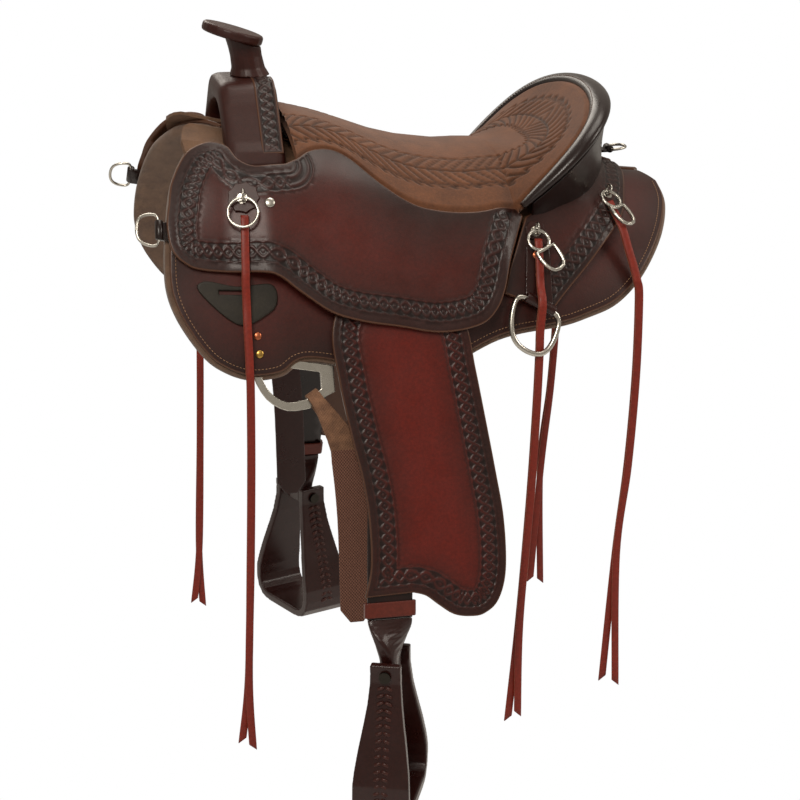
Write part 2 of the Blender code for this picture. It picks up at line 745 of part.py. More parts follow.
def make_seat(rooms):
    seat_slab("seat_pad", 0.0, PAD_THICK, SEAT_STEPS, "suede")
    under_pad = PAD_THICK + GAP
    ground = seat_slab("ground_seat", under_pad, GROUND_SEAT_THICK, GROUND_STEPS, "dark leather")
    cut_room(ground, rooms, "bars")


def cantle_base_point(w, depth, inset=0.0):
    """Where the cantle's back meets the back jockeys, at the same w as the rim."""
    path = smooth_path(CANTLE_BASE, 6)
    place = (1 - abs(w)) * (len(path) - 1)
    i = min(int(place), len(path) - 2)
    at = path[i].lerp(path[i + 1], place - i)
    point = body.place(at.x, at.y, depth, -1 if w < 0 else 1)
    return point - rim_outward(w) * inset


def roll_frame(w):
    """The roll's middle at w, with its outward and upward directions and its share of full size."""
    away = rim_outward(w)
    ahead = (rim_point(min(w + 0.02, 1.0)) - rim_point(max(w - 0.02, -1.0))).normalized()
    across = (away - ahead * away.dot(ahead)).normalized()
    upward = across.cross(ahead)
    if upward.z < 0:
        upward.negate()
    size = 1 - 0.5 * abs(w) ** 4
    middle = rim_point(w) + across * (ROLL_HALF_WIDTH * size + GAP) - upward * ROLL_SINK
    return middle, across, upward, size


def make_cantle(rooms):
    rows = [row for row in seat_rows() if row[2] == DISH_POWER]
    spread = [2 * i / CANTLE_STEPS - 1 for i in range(CANTLE_STEPS + 1)]
    board = []
    roll = []
    back = []
    for row, w in zip(rows, spread):
        middle, across, upward, size = roll_frame(w)
        roll.append([
            middle + across * ROLL_HALF_WIDTH * size * math.cos(a)
            + upward * ROLL_HALF_HEIGHT * size * math.sin(a)
            for a in (math.radians(36 * k) for k in range(10))
        ])
        if abs(w) > 0.95:
            continue
        away = rim_outward(w)
        inward = away * -CANTLE_BACK_THICK
        under_roll = upward * (ROLL_HALF_HEIGHT * size + 2 * GAP)
        top = middle + across * (ROLL_HALF_WIDTH * size / 2) - under_roll
        foot = cantle_base_point(w, back_top)
        low = foot - Vector((0, 0, BOARD_DROP / 2))
        waist = top.lerp(low, 0.5) - away * 0.002
        back.append([top, waist, low, low + inward, waist + inward, top + inward])
        if abs(w) > BOARD_SPAN:
            continue
        room = inward - away * (BOARD_ROOM + BOARD_NARROWING * abs(w) ** 3)
        tucked = foot - away * BOARD_TUCK
        last = SEAT_STEPS
        under = PAD_THICK + GAP
        board.append([
            seat_point(row, GROUND_STEPS / last, under + GROUND_SEAT_THICK + GAP),
            *(seat_point(row, k / last, under) for k in range(GROUND_STEPS + 1, last)),
            seat_point(row, 1 - 0.3 / last, under + BOARD_UNDER_PAD / 2),
            top + room - upward * BOARD_UNDER_PAD, waist + room * 1.6,
            tucked, tucked - Vector((0, 0, BOARD_DROP)),
        ])
    loft("cantle_roll", roll, "dark leather")
    cut_room(loft("cantle_back", back, "dark leather"), rooms, "back")
    cut_room(loft("tree_cantle", board, "wood"), rooms, "bars")


def fork_outline(inset, foot_z):
    """The fork from the front: an arch over the gullet with a foot on each bar."""
    half = [(y, z + FORK_TOP_Z) for y, z in FORK_OUTSIDE]
    half += [(FORK_FOOT_Y[1], FORK_FOOT_Z, True), (FORK_FOOT_Y[0], FORK_FOOT_Z, True)]
    half += [(y, z + FORK_TOP_Z) for y, z in GULLET]
    other = [(-p[0], *p[1:]) for p in reversed(half[1:-1])]
    moved = grown([*half, *other], -inset)
    return [(p[0], foot_z, True) if len(p) == 3 else p for p in moved]


def fork_block(name, inset, foot_z, rounding, finish):
    bm = outline_mesh([fork_outline(inset, foot_z)], 2)
    front, rear = FORK_FRONT_X + inset, FORK_REAR_X - inset
    for vert in bm.verts:
        y, z, share = vert.co
        vert.co = (front + (share + 0.5) * (rear - front), y, z)
    block = add_piece(name, bm, finish)
    bevel = block.modifiers.new("rounded edges", "BEVEL")
    bevel.width = rounding
    bevel.segments = 2
    bevel.limit_method = "ANGLE"
    bevel.angle_limit = math.radians(50)
    return block


def make_fork_and_horn(rooms):
    under_cover = COVER_THICK + GAP
    inner_round = FORK_ROUND - under_cover / 2
    fork = fork_block("tree_fork", under_cover, FORK_FOOT_Z, inner_round, "wood")
    cover = fork_block("fork_cover", 0.0, FORK_FOOT_Z, FORK_ROUND, "skirting leather")
    hollow = fork_block("fork_hollow", COVER_THICK, FORK_FOOT_Z - 0.002, inner_round, None)
    combine(cover, hollow, "DIFFERENCE")
    cut_room(fork, rooms, "bars")
    cut_room(cover, rooms, "bars")

    fork_top = FORK_TOP_Z - under_cover
    base = Vector((HORN_X, 0, fork_top))
    neck_top = Vector((HORN_X - HORN_LEAN, 0, FORK_TOP_Z + HORN_NECK_HEIGHT))
    lean = (neck_top - Vector((HORN_X, 0, FORK_TOP_Z))).normalized()
    up = Vector((0, 0, 1))
    flange_low = base - up * HORN_FLANGE_THICK
    pocket_r = HORN_FLANGE_R + PIN_CLEARANCE
    pocket = cylinder("flange_pocket", pocket_r, flange_low - up * GAP, base + up * 0.02, None)
    combine(fork, pocket, "DIFFERENCE")

    pitch = Vector((math.sin(HORN_CAP_PITCH), 0, math.cos(HORN_CAP_PITCH)))
    forward = Vector((-math.cos(HORN_CAP_PITCH), 0, math.sin(HORN_CAP_PITCH)))
    cap_low = neck_top + forward * HORN_CAP_FORWARD
    cap_middle = cap_low + pitch * HORN_CAP_THICK / 2
    half_disc = pitch * HORN_DISC_THICK / 2

    core = cylinder("horn_core", HORN_FLANGE_R, flange_low, base, "stainless", 20)
    shank_top = cap_middle + (neck_top - cap_low)
    beyond = cylinder("beyond_disc", HORN_CAP_R, cap_middle, cap_middle + pitch * 0.05, None, 20)
    shank = cylinder("horn_shank", HORN_CORE_R, base - up * 0.002, shank_top + lean * 0.01, None, 16)
    combine(shank, beyond, "DIFFERENCE")
    disc = cylinder("horn_disc", HORN_DISC_R, cap_middle - half_disc, cap_middle + half_disc, None, 20)
    combine(core, shank, "UNION")
    combine(core, disc, "UNION")

    bore = cylinder("horn_bore", HORN_CORE_R + PIN_CLEARANCE, base - up * 0.002,
                    shank_top + lean * 0.01, None, 16)
    combine(bore, beyond, "DIFFERENCE")
    room = cylinder("horn_disc_room", HORN_DISC_R + GAP, cap_middle - half_disc - pitch * GAP,
                    cap_middle + half_disc + pitch * GAP, None, 20)
    cap = cylinder("horn_cap", HORN_CAP_R, cap_low, cap_low + pitch * HORN_CAP_THICK, "skirting leather", 28)
    bevel = cap.modifiers.new("rounded rim", "BEVEL")
    bevel.width = HORN_CAP_ROUND
    bevel.segments = 2
    bevel.limit_method = "ANGLE"
    combine(cap, room, "DIFFERENCE")
    combine(cap, bore, "DIFFERENCE")
    combine(cover, bore, "DIFFERENCE")

    rings = []
    for share, radius in ((-0.2, HORN_BASE_R + 0.002), (0.0, HORN_BASE_R), (0.25, HORN_NECK_R + 0.001),
                          (0.6, HORN_NECK_R), (0.85, HORN_NECK_R + 0.0005), (1.5, HORN_NECK_R + 0.004)):
        centre = Vector((HORN_X, 0, FORK_TOP_Z)) + lean * (HORN_NECK_HEIGHT * share)
        rings.append([
            centre + Vector((math.cos(a), math.sin(a), 0)) * radius
            for a in (math.radians(18 * k) for k in range(20))
        ])
    neck = loft("horn_wrap", rings, "skirting leather")
    combine(neck, bore, "DIFFERENCE")
    big = 0.05
    below = cylinder("below_neck", big, Vector((HORN_X, 0, FORK_TOP_Z - big)),
                     Vector((HORN_X, 0, FORK_TOP_Z + NECK_LIFT)), None)
    above = cylinder("above_neck", big, neck_top - pitch * GAP, neck_top + pitch * big, None)
    combine(neck, below, "DIFFERENCE")
    combine(neck, above, "DIFFERENCE")


def plate(name, outline, frame, low, high, finish):
    """A flat plate with this outline on a frame, from one height above it to another."""
    here, out, rear, down = frame
    bm = outline_mesh([outline])
    for vert in bm.verts:
        height = low + (vert.co.z + 0.5) * (high - low)
        vert.co = here + rear * vert.co.x + down * vert.co.y + out * height
    bmesh.ops.triangulate(bm, faces=bm.faces)
    return add_piece(name, bm, finish)


def dee_path(start, end, low, steps=10):
    """A dee: a straight bar from start to end, and a bow between them through low."""
    middle = (start + end) / 2
    path = [start.lerp(end, share) for share in (0.0, 0.5)]
    for k in range(steps + 1):
        turn = math.pi * k / steps
        aside = math.copysign(abs(math.cos(turn)) ** 0.75, math.cos(turn)) * (1 + 0.25 * math.sin(turn))
        path.append(middle + (end - start) / 2 * aside + (low - middle) * math.sin(turn))
    return path[:-1]


def add_loop(piece, name, wire, start, end):
    """Turns the edge of a leather piece into a loop that a dee's bar runs through."""
    along = (end - start).normalized() * 0.004
    sleeve = cylinder(f"{name}_loop", wire + PIN_CLEARANCE + LOOP_WALL, start, end, None, 16)
    bore = cylinder(f"{name}_bore", wire + PIN_CLEARANCE, start - along, end + along, None, 16)
    combine(piece, sleeve, "UNION")
    combine(piece, bore, "DIFFERENCE")


def make_keeper():
    slot = corners(KEEPER_SLOT)
    top = GAP + KEEPER_THICK
    body.wrap("latigo_keeper", [KEEPER_EDGE, slot], GAP, top, SIDES["near"], "olive leather")


def rig_plate_edge(knots):
    """One edge of the rigging plate: its round bow, its corners, and the straight top back again."""
    bow = smooth_path(knots[:RIG_PLATE_ROUND], RIG_PLATE_STEPS)
    rest = [Vector(k) for k in knots[RIG_PLATE_ROUND:]]
    top = [rest[-1].lerp(bow[0], k / RIG_PLATE_TOP_STEPS) for k in range(1, RIG_PLATE_TOP_STEPS)]
    return bow + rest + top


def make_front_rigging():
    top = -SKIRT_THICK - GAP
    under = top - RIG_PLATE_THICK
    edges = list(zip(rig_plate_edge(RIG_PLATE_OUT), rig_plate_edge(RIG_PLATE_IN)))
    for label, side in SIDES.items():
        rings = [
            [body.place(p.x, p.y, depth, side) for p, depth in
             ((out, top), (out, under), (within, under), (within, top))]
            for out, within in edges
        ]
        loft(f"front_rigging_{label}", rings, "stainless", closed=True)


def make_rear_rigging():
    centre = GAP + LOOP_WALL + PIN_CLEARANCE + REAR_DEE_WIRE

    def bar_depth(x, s):
        return back_top(x, s) + centre

    def strap_top(x, s):
        return above_back(x, s) + RIG_STRAP_THICK

    first, last = (Vector(p) for p in REAR_DEE_BAR)
    ends = [first.lerp(last, share) for share in REAR_LOOP]
    outline = corners([*RIG_STRAP, ends[1], ends[0]])
    for label, side in SIDES.items():
        strap = body.wrap(
            f"rear_rig_strap_{label}", [outline], above_back, strap_top, side, "dark leather"
        )
        start, end = (body.place(p.x, p.y, bar_depth, side) for p in (first, last))
        low = body.place(*REAR_DEE_LOW, centre + JOCKEY_LIFT + BACK_JOCKEY_THICK, side)
        loop = [start.lerp(end, share) for share in REAR_LOOP]
        add_loop(strap, strap.name, REAR_DEE_WIRE, *loop)
        dee = tube(f"rear_dee_{label}", dee_path(start, end, low), REAR_DEE_WIRE, "stainless")
        put_origin(dee, (start + end) / 2)


def make_breast_dees():
    first, last = (Vector(p) for p in BREAST_DEE_BAR)
    ends = [first.lerp(last, share) for share in BREAST_LOOP]
    root_x = SKIRT_EDGE[2][0] + 0.006
    tab = corners([ends[0], ends[1], (root_x, ends[1].y), (root_x, ends[0].y)])
    for label, side in SIDES.items():
        skirt = parts.objects[f"skirt_{label}"]
        sheet = body.wrap(
            f"breast_tab_{label}", [tab], -BREAST_TAB_THICK, -GAP, side, None
        )
        combine(skirt, sheet, "UNION")
        start, end = (body.place(p.x, p.y, BREAST_TAB_LIFT, side) for p in (first, last))
        low = body.place(*BREAST_DEE_LOW, BREAST_TAB_LIFT, side)
        loop = [start.lerp(end, share) for share in BREAST_LOOP]
        add_loop(skirt, f"breast_tab_{label}", BREAST_DEE_WIRE, *loop)
        dee = tube(f"breast_dee_{label}", dee_path(start, end, low), BREAST_DEE_WIRE, "stainless")
        put_origin(dee, (start + end) / 2)


def make_crupper_dee():
    x, z = CRUPPER_DEE_AT
    middle = Vector((x, 0, z))
    across = Vector((0, 1, 0))
    back = parts.objects["cantle_back"]
    bm = bmesh.new()
    root_x = CANTLE_BASE[-1][0] - CANTLE_BACK_THICK + GAP
    size = Vector((x - root_x, 2 * CRUPPER_TAB_HALF, CRUPPER_TAB_THICK))
    place = Matrix.Translation(((x + root_x) / 2, 0, z - CRUPPER_TAB_THICK / 2))
    bmesh.ops.create_cube(bm, size=1.0, matrix=place @ Matrix.Diagonal((*size, 1)))
    combine(back, add_piece("crupper_tab", bm, None), "UNION")
    half = across * CRUPPER_TAB_HALF
    add_loop(back, "crupper_tab", CRUPPER_DEE_WIRE, middle - half, middle + half)
    bar = across * CRUPPER_DEE_HALF
    low = middle + Vector((CRUPPER_DEE_REACH, 0, 0.002))
    dee = tube("crupper_dee", dee_path(middle - bar, middle + bar, low), CRUPPER_DEE_WIRE, "stainless")
    put_origin(dee, middle)


def leather_under(spec):
    return jockey_top if spec["on"] == "jockey" else back_top


def string_frame(spec, side):
    """The leather below a rosette: its place with its outward, rearward and downward directions."""
    return body.frame(*spec["at"], leather_under(spec), side)


def eye_centre(frame):
    here, out, rear, down = frame
    return here + out * (GAP + ROSETTE_THICK + EYE_R + EYE_WIRE - EYE_SINK)


def make_string_hardware():
    for where, spec in STRINGS.items():
        radius = spec["rosette"]
        lobes = [
            (radius * (1 + 0.07 * math.cos(ROSETTE_LOBES * a)) * math.cos(a),
             radius * (1 + 0.07 * math.cos(ROSETTE_LOBES * a)) * math.sin(a), True)
            for a in (math.tau * k / (3 * ROSETTE_LOBES) for k in range(3 * ROSETTE_LOBES))
        ]
        for label, side in SIDES.items():
            frame = string_frame(spec, side)
            here, out, rear, down = frame
            name = f"string_mount_{where}_{label}"
            mount = plate(name, lobes, frame, GAP, GAP + ROSETTE_THICK, "stainless")
            eye = eye_centre(frame)
            circle = [
                eye + (out * math.cos(a) + down * math.sin(a)) * EYE_R
                for a in (math.tau * k / 10 for k in range(10))
            ]
            combine(mount, tube(f"{name}_eye", circle, EYE_WIRE, None), "UNION")
            make_string_ring(where, label, spec, frame, eye)


def make_string_ring(where, label, spec, frame, eye):
    """The ring in a rosette's eye, resting on the thong that runs under it."""
    here, out, rear, down = frame
    hinge = eye + down * (EYE_R - EYE_WIRE - STRING_WIRE - PIN_CLEARANCE)
    radius = spec["ring"]
    thong_top = spec["route"][0][2] + THONG_SPREAD + THONG_THICK / 2
    rest = (hinge - here).dot(out) - (thong_top + STRING_WIRE + 2 * PIN_CLEARANCE)
    dip = math.asin(min(max(rest / (2 * radius), -0.5), 0.5))
    fall = down * math.cos(dip) - out * math.sin(dip)
    centre = hinge + fall * radius
    circle = [
        centre + (rear * math.cos(a) + fall * math.sin(a)) * radius
        for a in (math.tau * k / 16 for k in range(16))
    ]
    finish = "stainless"
    ring = tube(f"string_ring_{where}_{label}", circle, STRING_WIRE, finish)
    if spec["dee"]:
        size = spec["dee"]
        axis = fall * math.cos(DEE_TURN) - rear * math.sin(DEE_TURN)
        side_way = rear * math.cos(DEE_TURN) + fall * math.sin(DEE_TURN)
        bar = centre + axis * radius
        start, end = bar - side_way * size * 0.42, bar + side_way * size * 0.42
        dee = tube(f"{ring.name}_dee", dee_path(start, end, bar + axis * size), STRING_WIRE * 1.15, None)
        combine(ring, dee, "UNION")
    put_origin(ring, hinge)


def strand_rings(route, spread, width):
    """Flat sections along a strand: each stop holds a point, its outward side and its width's line."""
    rings = []
    for point, out, across in route:
        centre = point + out * spread
        w = across * width / 2
        t = out * THONG_THICK / 2
        rings.append([centre - w - t, centre + w - t, centre + w + t, centre - w + t])
    return rings


def make_saddle_strings():
    for where, spec in STRINGS.items():
        base = leather_under(spec)
        for label, side in SIDES.items():
            surface_stops = smooth_path(spec["route"], 2)
            stops = []
            for stop in surface_stops:
                def depth(x, s, lift=stop.z):
                    return base(x, s) + lift
                point, out, rear, down = body.frame(stop.x, stop.y, depth, side)
                stops.append((point, out, rear))
            last, out, rear = stops[-1]
            level = Vector((0, side, 0))
            falls = []
            for tip in spec["tips"]:
                knots = [last, *(Vector((x, last.y, last.z - drop)) for x, drop in (*spec["hang"], tip))]
                falls.append([(p, level, Vector((1, 0, 0))) for p in smooth_path(knots, 2)[1:]])
            strands = []
            for i, fall in enumerate(falls):
                whole = stops + fall
                sign = 1 if i else -1
                width = THONG_WIDTH - 0.0004 * i
                rings = []
                for k, stop in enumerate(whole):
                    spread = sign * THONG_SPREAD * smooth_step(-2, 3, k)
                    rings += strand_rings([stop], spread, width)
                strands.append(rings)
            thong = loft(f"saddle_string_{where}_{label}", strands[0], "latigo leather")
            other = loft(f"second_strand_{where}_{label}", strands[1], None)
            combine(thong, other, "UNION")


def hang_point(x, s):
    """The fender's middle surface: between skirt and jockey, then straight down and outwards."""
    reach = min(s, FENDER_BEND_DOWN)

    def middle(u, v):
        over_bar = bar_top(u, v) + FENDER_ON_BAR + FENDER_STRAP_THICK
        under_jockey = jockey_under(u, v) / 2
        return over_bar + (under_jockey - over_bar) * smooth_step(0.170, 0.260, v)

    point = body.place(FENDER_PIVOT_X, reach, middle)
    rest = s - reach
    return (x, point.y - rest * math.sin(FENDER_LEAN), point.z - rest * math.cos(FENDER_LEAN))


fender_plane = Surface([-0.2, 0.2], [0.09, 0.12, 0.15, 0.18, 0.21, 0.24, 0.27, 0.30, 0.70], hang_point)


def strap_middle(s):
    share = (s - STRAP_TOP) / (STRAP_END - STRAP_TOP)
    return STRAP_HIGH_X + (STRAP_LOW_X - STRAP_HIGH_X) * share


def rounded_ring(centre, across, through, half_width, half_thick, count=12):
    """Points round a flat section with rounded ends."""
    ring = []
    for k in range(count):
        a = math.tau * (k + 0.5) / count
        c, s = math.cos(a), math.sin(a)
        ring.append(
            centre + across * (half_width * math.copysign(abs(c) ** 0.5, c))
            + through * (half_thick * math.copysign(abs(s) ** 0.5, s))
        )
    return ring


def make_fenders():
    half = STRAP_WIDTH / 2
    strap_outline = corners([
        (strap_middle(STRAP_TOP) - half, STRAP_TOP), (strap_middle(STRAP_TOP) + half, STRAP_TOP),
        (strap_middle(STRAP_END) + half, STRAP_END), (strap_middle(STRAP_END) - half, STRAP_END),
    ])
    lap = 0.00015
    for label, side in SIDES.items():
        fender = fender_plane.wrap(
            f"fender_{label}", [FENDER_EDGE], -lap, FENDER_THICK - lap, side, "skirting leather"
        )
        strap = fender_plane.wrap(
            f"fender_strap_{label}", [strap_outline], -FENDER_STRAP_THICK, lap, side, None
        )
        combine(fender, strap, "UNION")
        put_origin(fender, fender_plane.place(FENDER_PIVOT_X, FENDER_PIVOT_DOWN, 0.0, side))
        make_hobble(label, side)
        make_stirrup(label, side)


def make_hobble(label, side):
    low = STRAP_END - 0.002
    inner = []
    outer = []
    for s in (low - HOBBLE_HEIGHT, low):
        here, out, rear, down = fender_plane.frame(strap_middle(s), s, 0.0, side)
        centre = here - out * FENDER_STRAP_THICK / 2
        half_width = STRAP_WIDTH / 2 + GAP
        half_thick = FENDER_STRAP_THICK / 2 + 2 * GAP
        grow = HOBBLE_THICK
        inner.append(rounded_box(centre, rear, out, half_width, half_thick))
        outer.append(rounded_box(centre, rear, out, half_width + grow, half_thick + grow))
    rings = [
        [inner[0][k], inner[1][k], outer[1][k], outer[0][k]] for k in range(len(inner[0]))
    ]
    loft(f"hobble_strap_{label}", rings, "latigo leather", closed=True)


def rounded_box(centre, across, through, half_width, half_thick):
    """A rectangle's outline with its corners cut."""
    cut = half_thick * 0.35
    shape = (
        (half_width, half_thick - cut), (half_width - cut, half_thick), (0, half_thick),
        (cut - half_width, half_thick), (-half_width, half_thick - cut),
        (-half_width, cut - half_thick), (cut - half_width, -half_thick), (0, -half_thick),
        (half_width - cut, -half_thick), (half_width, cut - half_thick),
    )
    return [centre + across * a + through * b for a, b in shape]


def stirrup_half(height):
    """Half of the stirrup leaf's width, at a height over the bolt."""
    share = smooth_step(0.0, 0.8 * STIRRUP_HEIGHT, -height)
    return (STIRRUP_LEAF_TOP + (STIRRUP_LEAF - STIRRUP_LEAF_TOP) * share) / 2


def bolt_place(side):
    """The bolt's middle and its line, from the leaf nearest the rider's foot to the other."""
    here, out, rear, down = fender_plane.frame(STRAP_LOW_X, STRAP_END, 0.0, side)
    top = here - out * FENDER_STRAP_THICK / 2
    middle = top + down * 0.016 - Vector((0, 0, LEATHER_DROP - 0.016))
    line = Vector((math.sin(STIRRUP_YAW), -side * math.cos(STIRRUP_YAW), 0))
    return top, out, rear, down, middle, line


def make_stirrup(label, side):
    top, out, rear, down, bolt_middle, line = bolt_place(side)
    fore = line.cross(Vector((0, 0, 1))).normalized()
    up = Vector((0, 0, 1))

    leather = []
    stops = [top + down * GAP, top + down * 0.016, bolt_middle + up * 0.016, bolt_middle - up * 0.010]
    path = smooth_path(stops, 4)
    full_turn = math.pi / 2 - STIRRUP_YAW
    for k, point in enumerate(path):
        share = k / (len(path) - 1)
        ease = smooth_step(0.05, 0.80, share)
        turn = ease * full_turn * -side
        along = (down * (1 - ease) - up * ease).normalized()
        aside = rear.cross(along)
        if aside.y < 0:
            aside.negate()
        across = rear * math.cos(turn) + aside * math.sin(turn)
        through = along.cross(across).normalized()
        half_width = STRAP_WIDTH / 2 + (LEATHER_LOOP_WIDTH - STRAP_WIDTH) / 2 * ease
        half_thick = FENDER_STRAP_THICK + 0.006 * smooth_step(0.1, 0.6, share)
        leather.append(rounded_ring(point, across.normalized(), through, half_width, half_thick))
    piece = loft(f"stirrup_leather_{label}", leather, "dark leather")
    inner = STIRRUP_TOP_WIDTH / 2
    outer = inner + STIRRUP_WALL
    reach = outer + 0.02
    bore = cylinder(
        f"bolt_bore_{label}", BOLT_R + PIN_CLEARANCE, bolt_middle - line * reach,
        bolt_middle + line * reach, None, 16,
    )
    combine(piece, bore, "DIFFERENCE")
    put_origin(piece, top)

    foot = STIRRUP_FOOT_WIDTH / 2
    tread = -STIRRUP_HEIGHT + STIRRUP_WALL
    side_line = [
        (inner, STIRRUP_EAR, True), (inner, -0.010), (0.60 * inner + 0.40 * foot, 0.38 * tread),
        (0.12 * inner + 0.88 * foot, 0.70 * tread), (foot, 0.88 * tread), (foot - 0.010, 0.985 * tread),
        (0.5 * foot, tread, True),
    ]
    mirrored = [(-p[0], *p[1:]) for p in reversed(side_line)]
    inside = [*side_line, *mirrored]
    wide = grown(inside, STIRRUP_WALL)
    wide[0] = (outer, STIRRUP_EAR, True)
    wide[-1] = (-outer, STIRRUP_EAR, True)
    bm = outline_mesh([[*inside, *reversed(wide)]])
    bmesh.ops.triangulate(bm, faces=bm.faces)
    for vert in bm.verts:
        reach_fore = 2 * vert.co.z * stirrup_half(vert.co.y)
        vert.co = bolt_middle + line * vert.co.x + up * vert.co.y + fore * reach_fore
    stirrup = add_piece(f"stirrup_{label}", bm, "dark leather")
    combine(stirrup, bore, "DIFFERENCE")
    put_origin(stirrup, bolt_middle)

    end = outer + GAP
    bolt = cylinder(f"stirrup_bolt_{label}", BOLT_R, bolt_middle - line * (end + 0.001),
                    bolt_middle + line * (end + 0.001), "stainless", 14)
    for tag, sign in (("near", -1), ("far", 1)):
        start = bolt_middle + line * (sign * end)
        head = cylinder(f"bolt_head_{tag}_{label}", BOLT_HEAD_R, start,
                        start + line * (sign * BOLT_HEAD_THICK), None, 14)
        combine(bolt, head, "UNION")
    put_origin(bolt, bolt_middle)


def latigo_frame(side):
    """The rigging plate's bar where the latigo hangs: place, outward side, bar's line, pull."""
    middle = -SKIRT_THICK - GAP - RIG_PLATE_THICK / 2
    here, out, rear, down = body.frame(*LATIGO_AT, middle, side)
    bar = (rear * LATIGO_BAR[0] + down * LATIGO_BAR[1]).normalized()
    pull = (down * LATIGO_BAR[0] - rear * LATIGO_BAR[1]).normalized()
    return here, out, bar, pull


def make_latigo(name, side, fall, finish):
    """A strap that hangs on the rigging plate, its tail folded through the ring and down behind."""
    here, out, bar, pull = latigo_frame(side)
    room = LATIGO_ROOM + LATIGO_THICK / 2
    over = LATIGO_BAR_HALF + GAP + LATIGO_THICK / 2
    fold = [here - out * room + pull * LATIGO_TAIL, here - out * room + pull * LATIGO_TAIL / 2]
    for k in range(7):
        a = math.pi * k / 6
        fold.append(here - out * (room * math.cos(a)) - pull * (over * math.sin(a)))
    front = here + out * room
    knots = [front + pull * 0.020]
    knots += [Vector((x, front.y + side * 0.002, front.z - drop)) for x, drop in fall]
    path = fold + smooth_path([fold[-1], *knots], 3)[1:]
    rings = []
    for k, point in enumerate(path):
        before = path[max(k - 1, 0)]
        after = path[min(k + 1, len(path) - 1)]
        along = (after - before).normalized()
        share = smooth_step(len(fold) - 1, len(fold) + 8, k)
        line = (bar * (1 - share) + Vector((1, 0, 0)) * share).normalized()
        line = (line - along * line.dot(along)).normalized()
        widening = smooth_step(len(fold), len(fold) + 7, k)
        width = LATIGO_TOP_WIDTH + (LATIGO_WIDTH - LATIGO_TOP_WIDTH) * widening
        if k == len(path) - 1:
            width *= 0.4
        thick = along.cross(line).normalized() * LATIGO_THICK / 2
        w = line * width / 2
        rings.append([point - w - thick, point + w - thick, point + w + thick, point - w + thick])
    strap = loft(name, rings, finish)
    put_origin(strap, here)


make_skirts()
make_jockeys()
make_tree_bars()
rooms = make_room_cutters()
make_seat(rooms)
make_cantle(rooms)
make_fork_and_horn(rooms)
make_keeper()
make_front_rigging()
make_rear_rigging()
make_breast_dees()
make_crupper_dee()
make_string_hardware()
make_saddle_strings()
make_fenders()
make_latigo("latigo", SIDES["near"], LATIGO_FALL, "nylon")
make_latigo("off_billet", SIDES["off"], LATIGO_FALL, "dark leather")
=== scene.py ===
"""Looks of a mule saddle: stamped leather, quilted suede, felt, steel and red latigo strings."""

import math

import bmesh
import bpy
import numpy as np
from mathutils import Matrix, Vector
from mathutils.geometry import delaunay_2d_cdt


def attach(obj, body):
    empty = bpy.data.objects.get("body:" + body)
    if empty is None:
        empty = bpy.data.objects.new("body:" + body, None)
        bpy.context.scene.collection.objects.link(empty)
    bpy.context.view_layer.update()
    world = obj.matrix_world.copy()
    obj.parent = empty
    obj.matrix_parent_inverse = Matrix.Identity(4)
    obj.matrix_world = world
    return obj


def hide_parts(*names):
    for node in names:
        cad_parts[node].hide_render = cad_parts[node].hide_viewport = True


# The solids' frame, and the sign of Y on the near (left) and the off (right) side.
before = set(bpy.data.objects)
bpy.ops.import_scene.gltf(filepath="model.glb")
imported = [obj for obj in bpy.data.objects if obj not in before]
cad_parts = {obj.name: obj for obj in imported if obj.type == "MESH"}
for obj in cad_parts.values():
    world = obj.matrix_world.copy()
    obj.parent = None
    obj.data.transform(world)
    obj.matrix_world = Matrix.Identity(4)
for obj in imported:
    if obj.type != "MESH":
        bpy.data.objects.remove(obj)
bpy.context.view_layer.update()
SIDES = {"near": -1, "off": 1}

# Camera: a long lens from the near side, a little forward and above, as the photograph was taken.
# It looks at the middle of the saddle with its stirrups hanging.
CAMERA_TURN, CAMERA_RISE = math.radians(-12), math.radians(17)
CAMERA_AWAY = 3.0
SADDLE_MIDDLE = Vector((0, 0, -0.300))
camera = bpy.data.objects.new("camera", bpy.data.cameras.new("camera"))
bpy.context.scene.collection.objects.link(camera)
bpy.context.scene.camera = camera
camera.data.lens = 105
camera.data.sensor_width = 36
camera.data.clip_end = 100
level = math.cos(CAMERA_RISE)
back = Vector((math.sin(CAMERA_TURN) * level, -math.cos(CAMERA_TURN) * level, math.sin(CAMERA_RISE)))
camera.location = SADDLE_MIDDLE + back * CAMERA_AWAY
camera.rotation_euler = (-back).to_track_quat("-Z", "Y").to_euler()
bpy.context.scene.view_settings.view_transform = "Standard"


# Studio: the floor and the air read as plain white to the camera, and give soft light to the leather.
# Four softboxes, a little warm, stand round the saddle and above it.
def colour(text):
    """A colour from its sRGB hex code."""
    values = [int(text[i:i + 2], 16) / 255 for i in (1, 3, 5)]
    return (*(v / 12.92 if v <= 0.04045 else ((v + 0.055) / 1.055) ** 2.4 for v in values), 1.0)


def feed(tree, made, inputs):
    """Sets a node's inputs. Each takes a value, a socket, or another node, for its first output."""
    for key, value in inputs.items():
        if isinstance(value, bpy.types.Node):
            value = value.outputs[0]
        if isinstance(value, bpy.types.NodeSocket):
            tree.links.new(value, made.inputs[key])
        else:
            made.inputs[key].default_value = value


def node(tree, kind, inputs=None, stops=(), **settings):
    """Adds a shader node with its settings and links. stops are a colour ramp's places and colours."""
    made = tree.nodes.new("ShaderNode" + kind)
    for key, value in settings.items():
        setattr(made, key, value)
    feed(tree, made, inputs or {})
    for number, (place, shade) in enumerate(stops):
        made.color_ramp.elements[number].position = place
        made.color_ramp.elements[number].color = shade
    return made


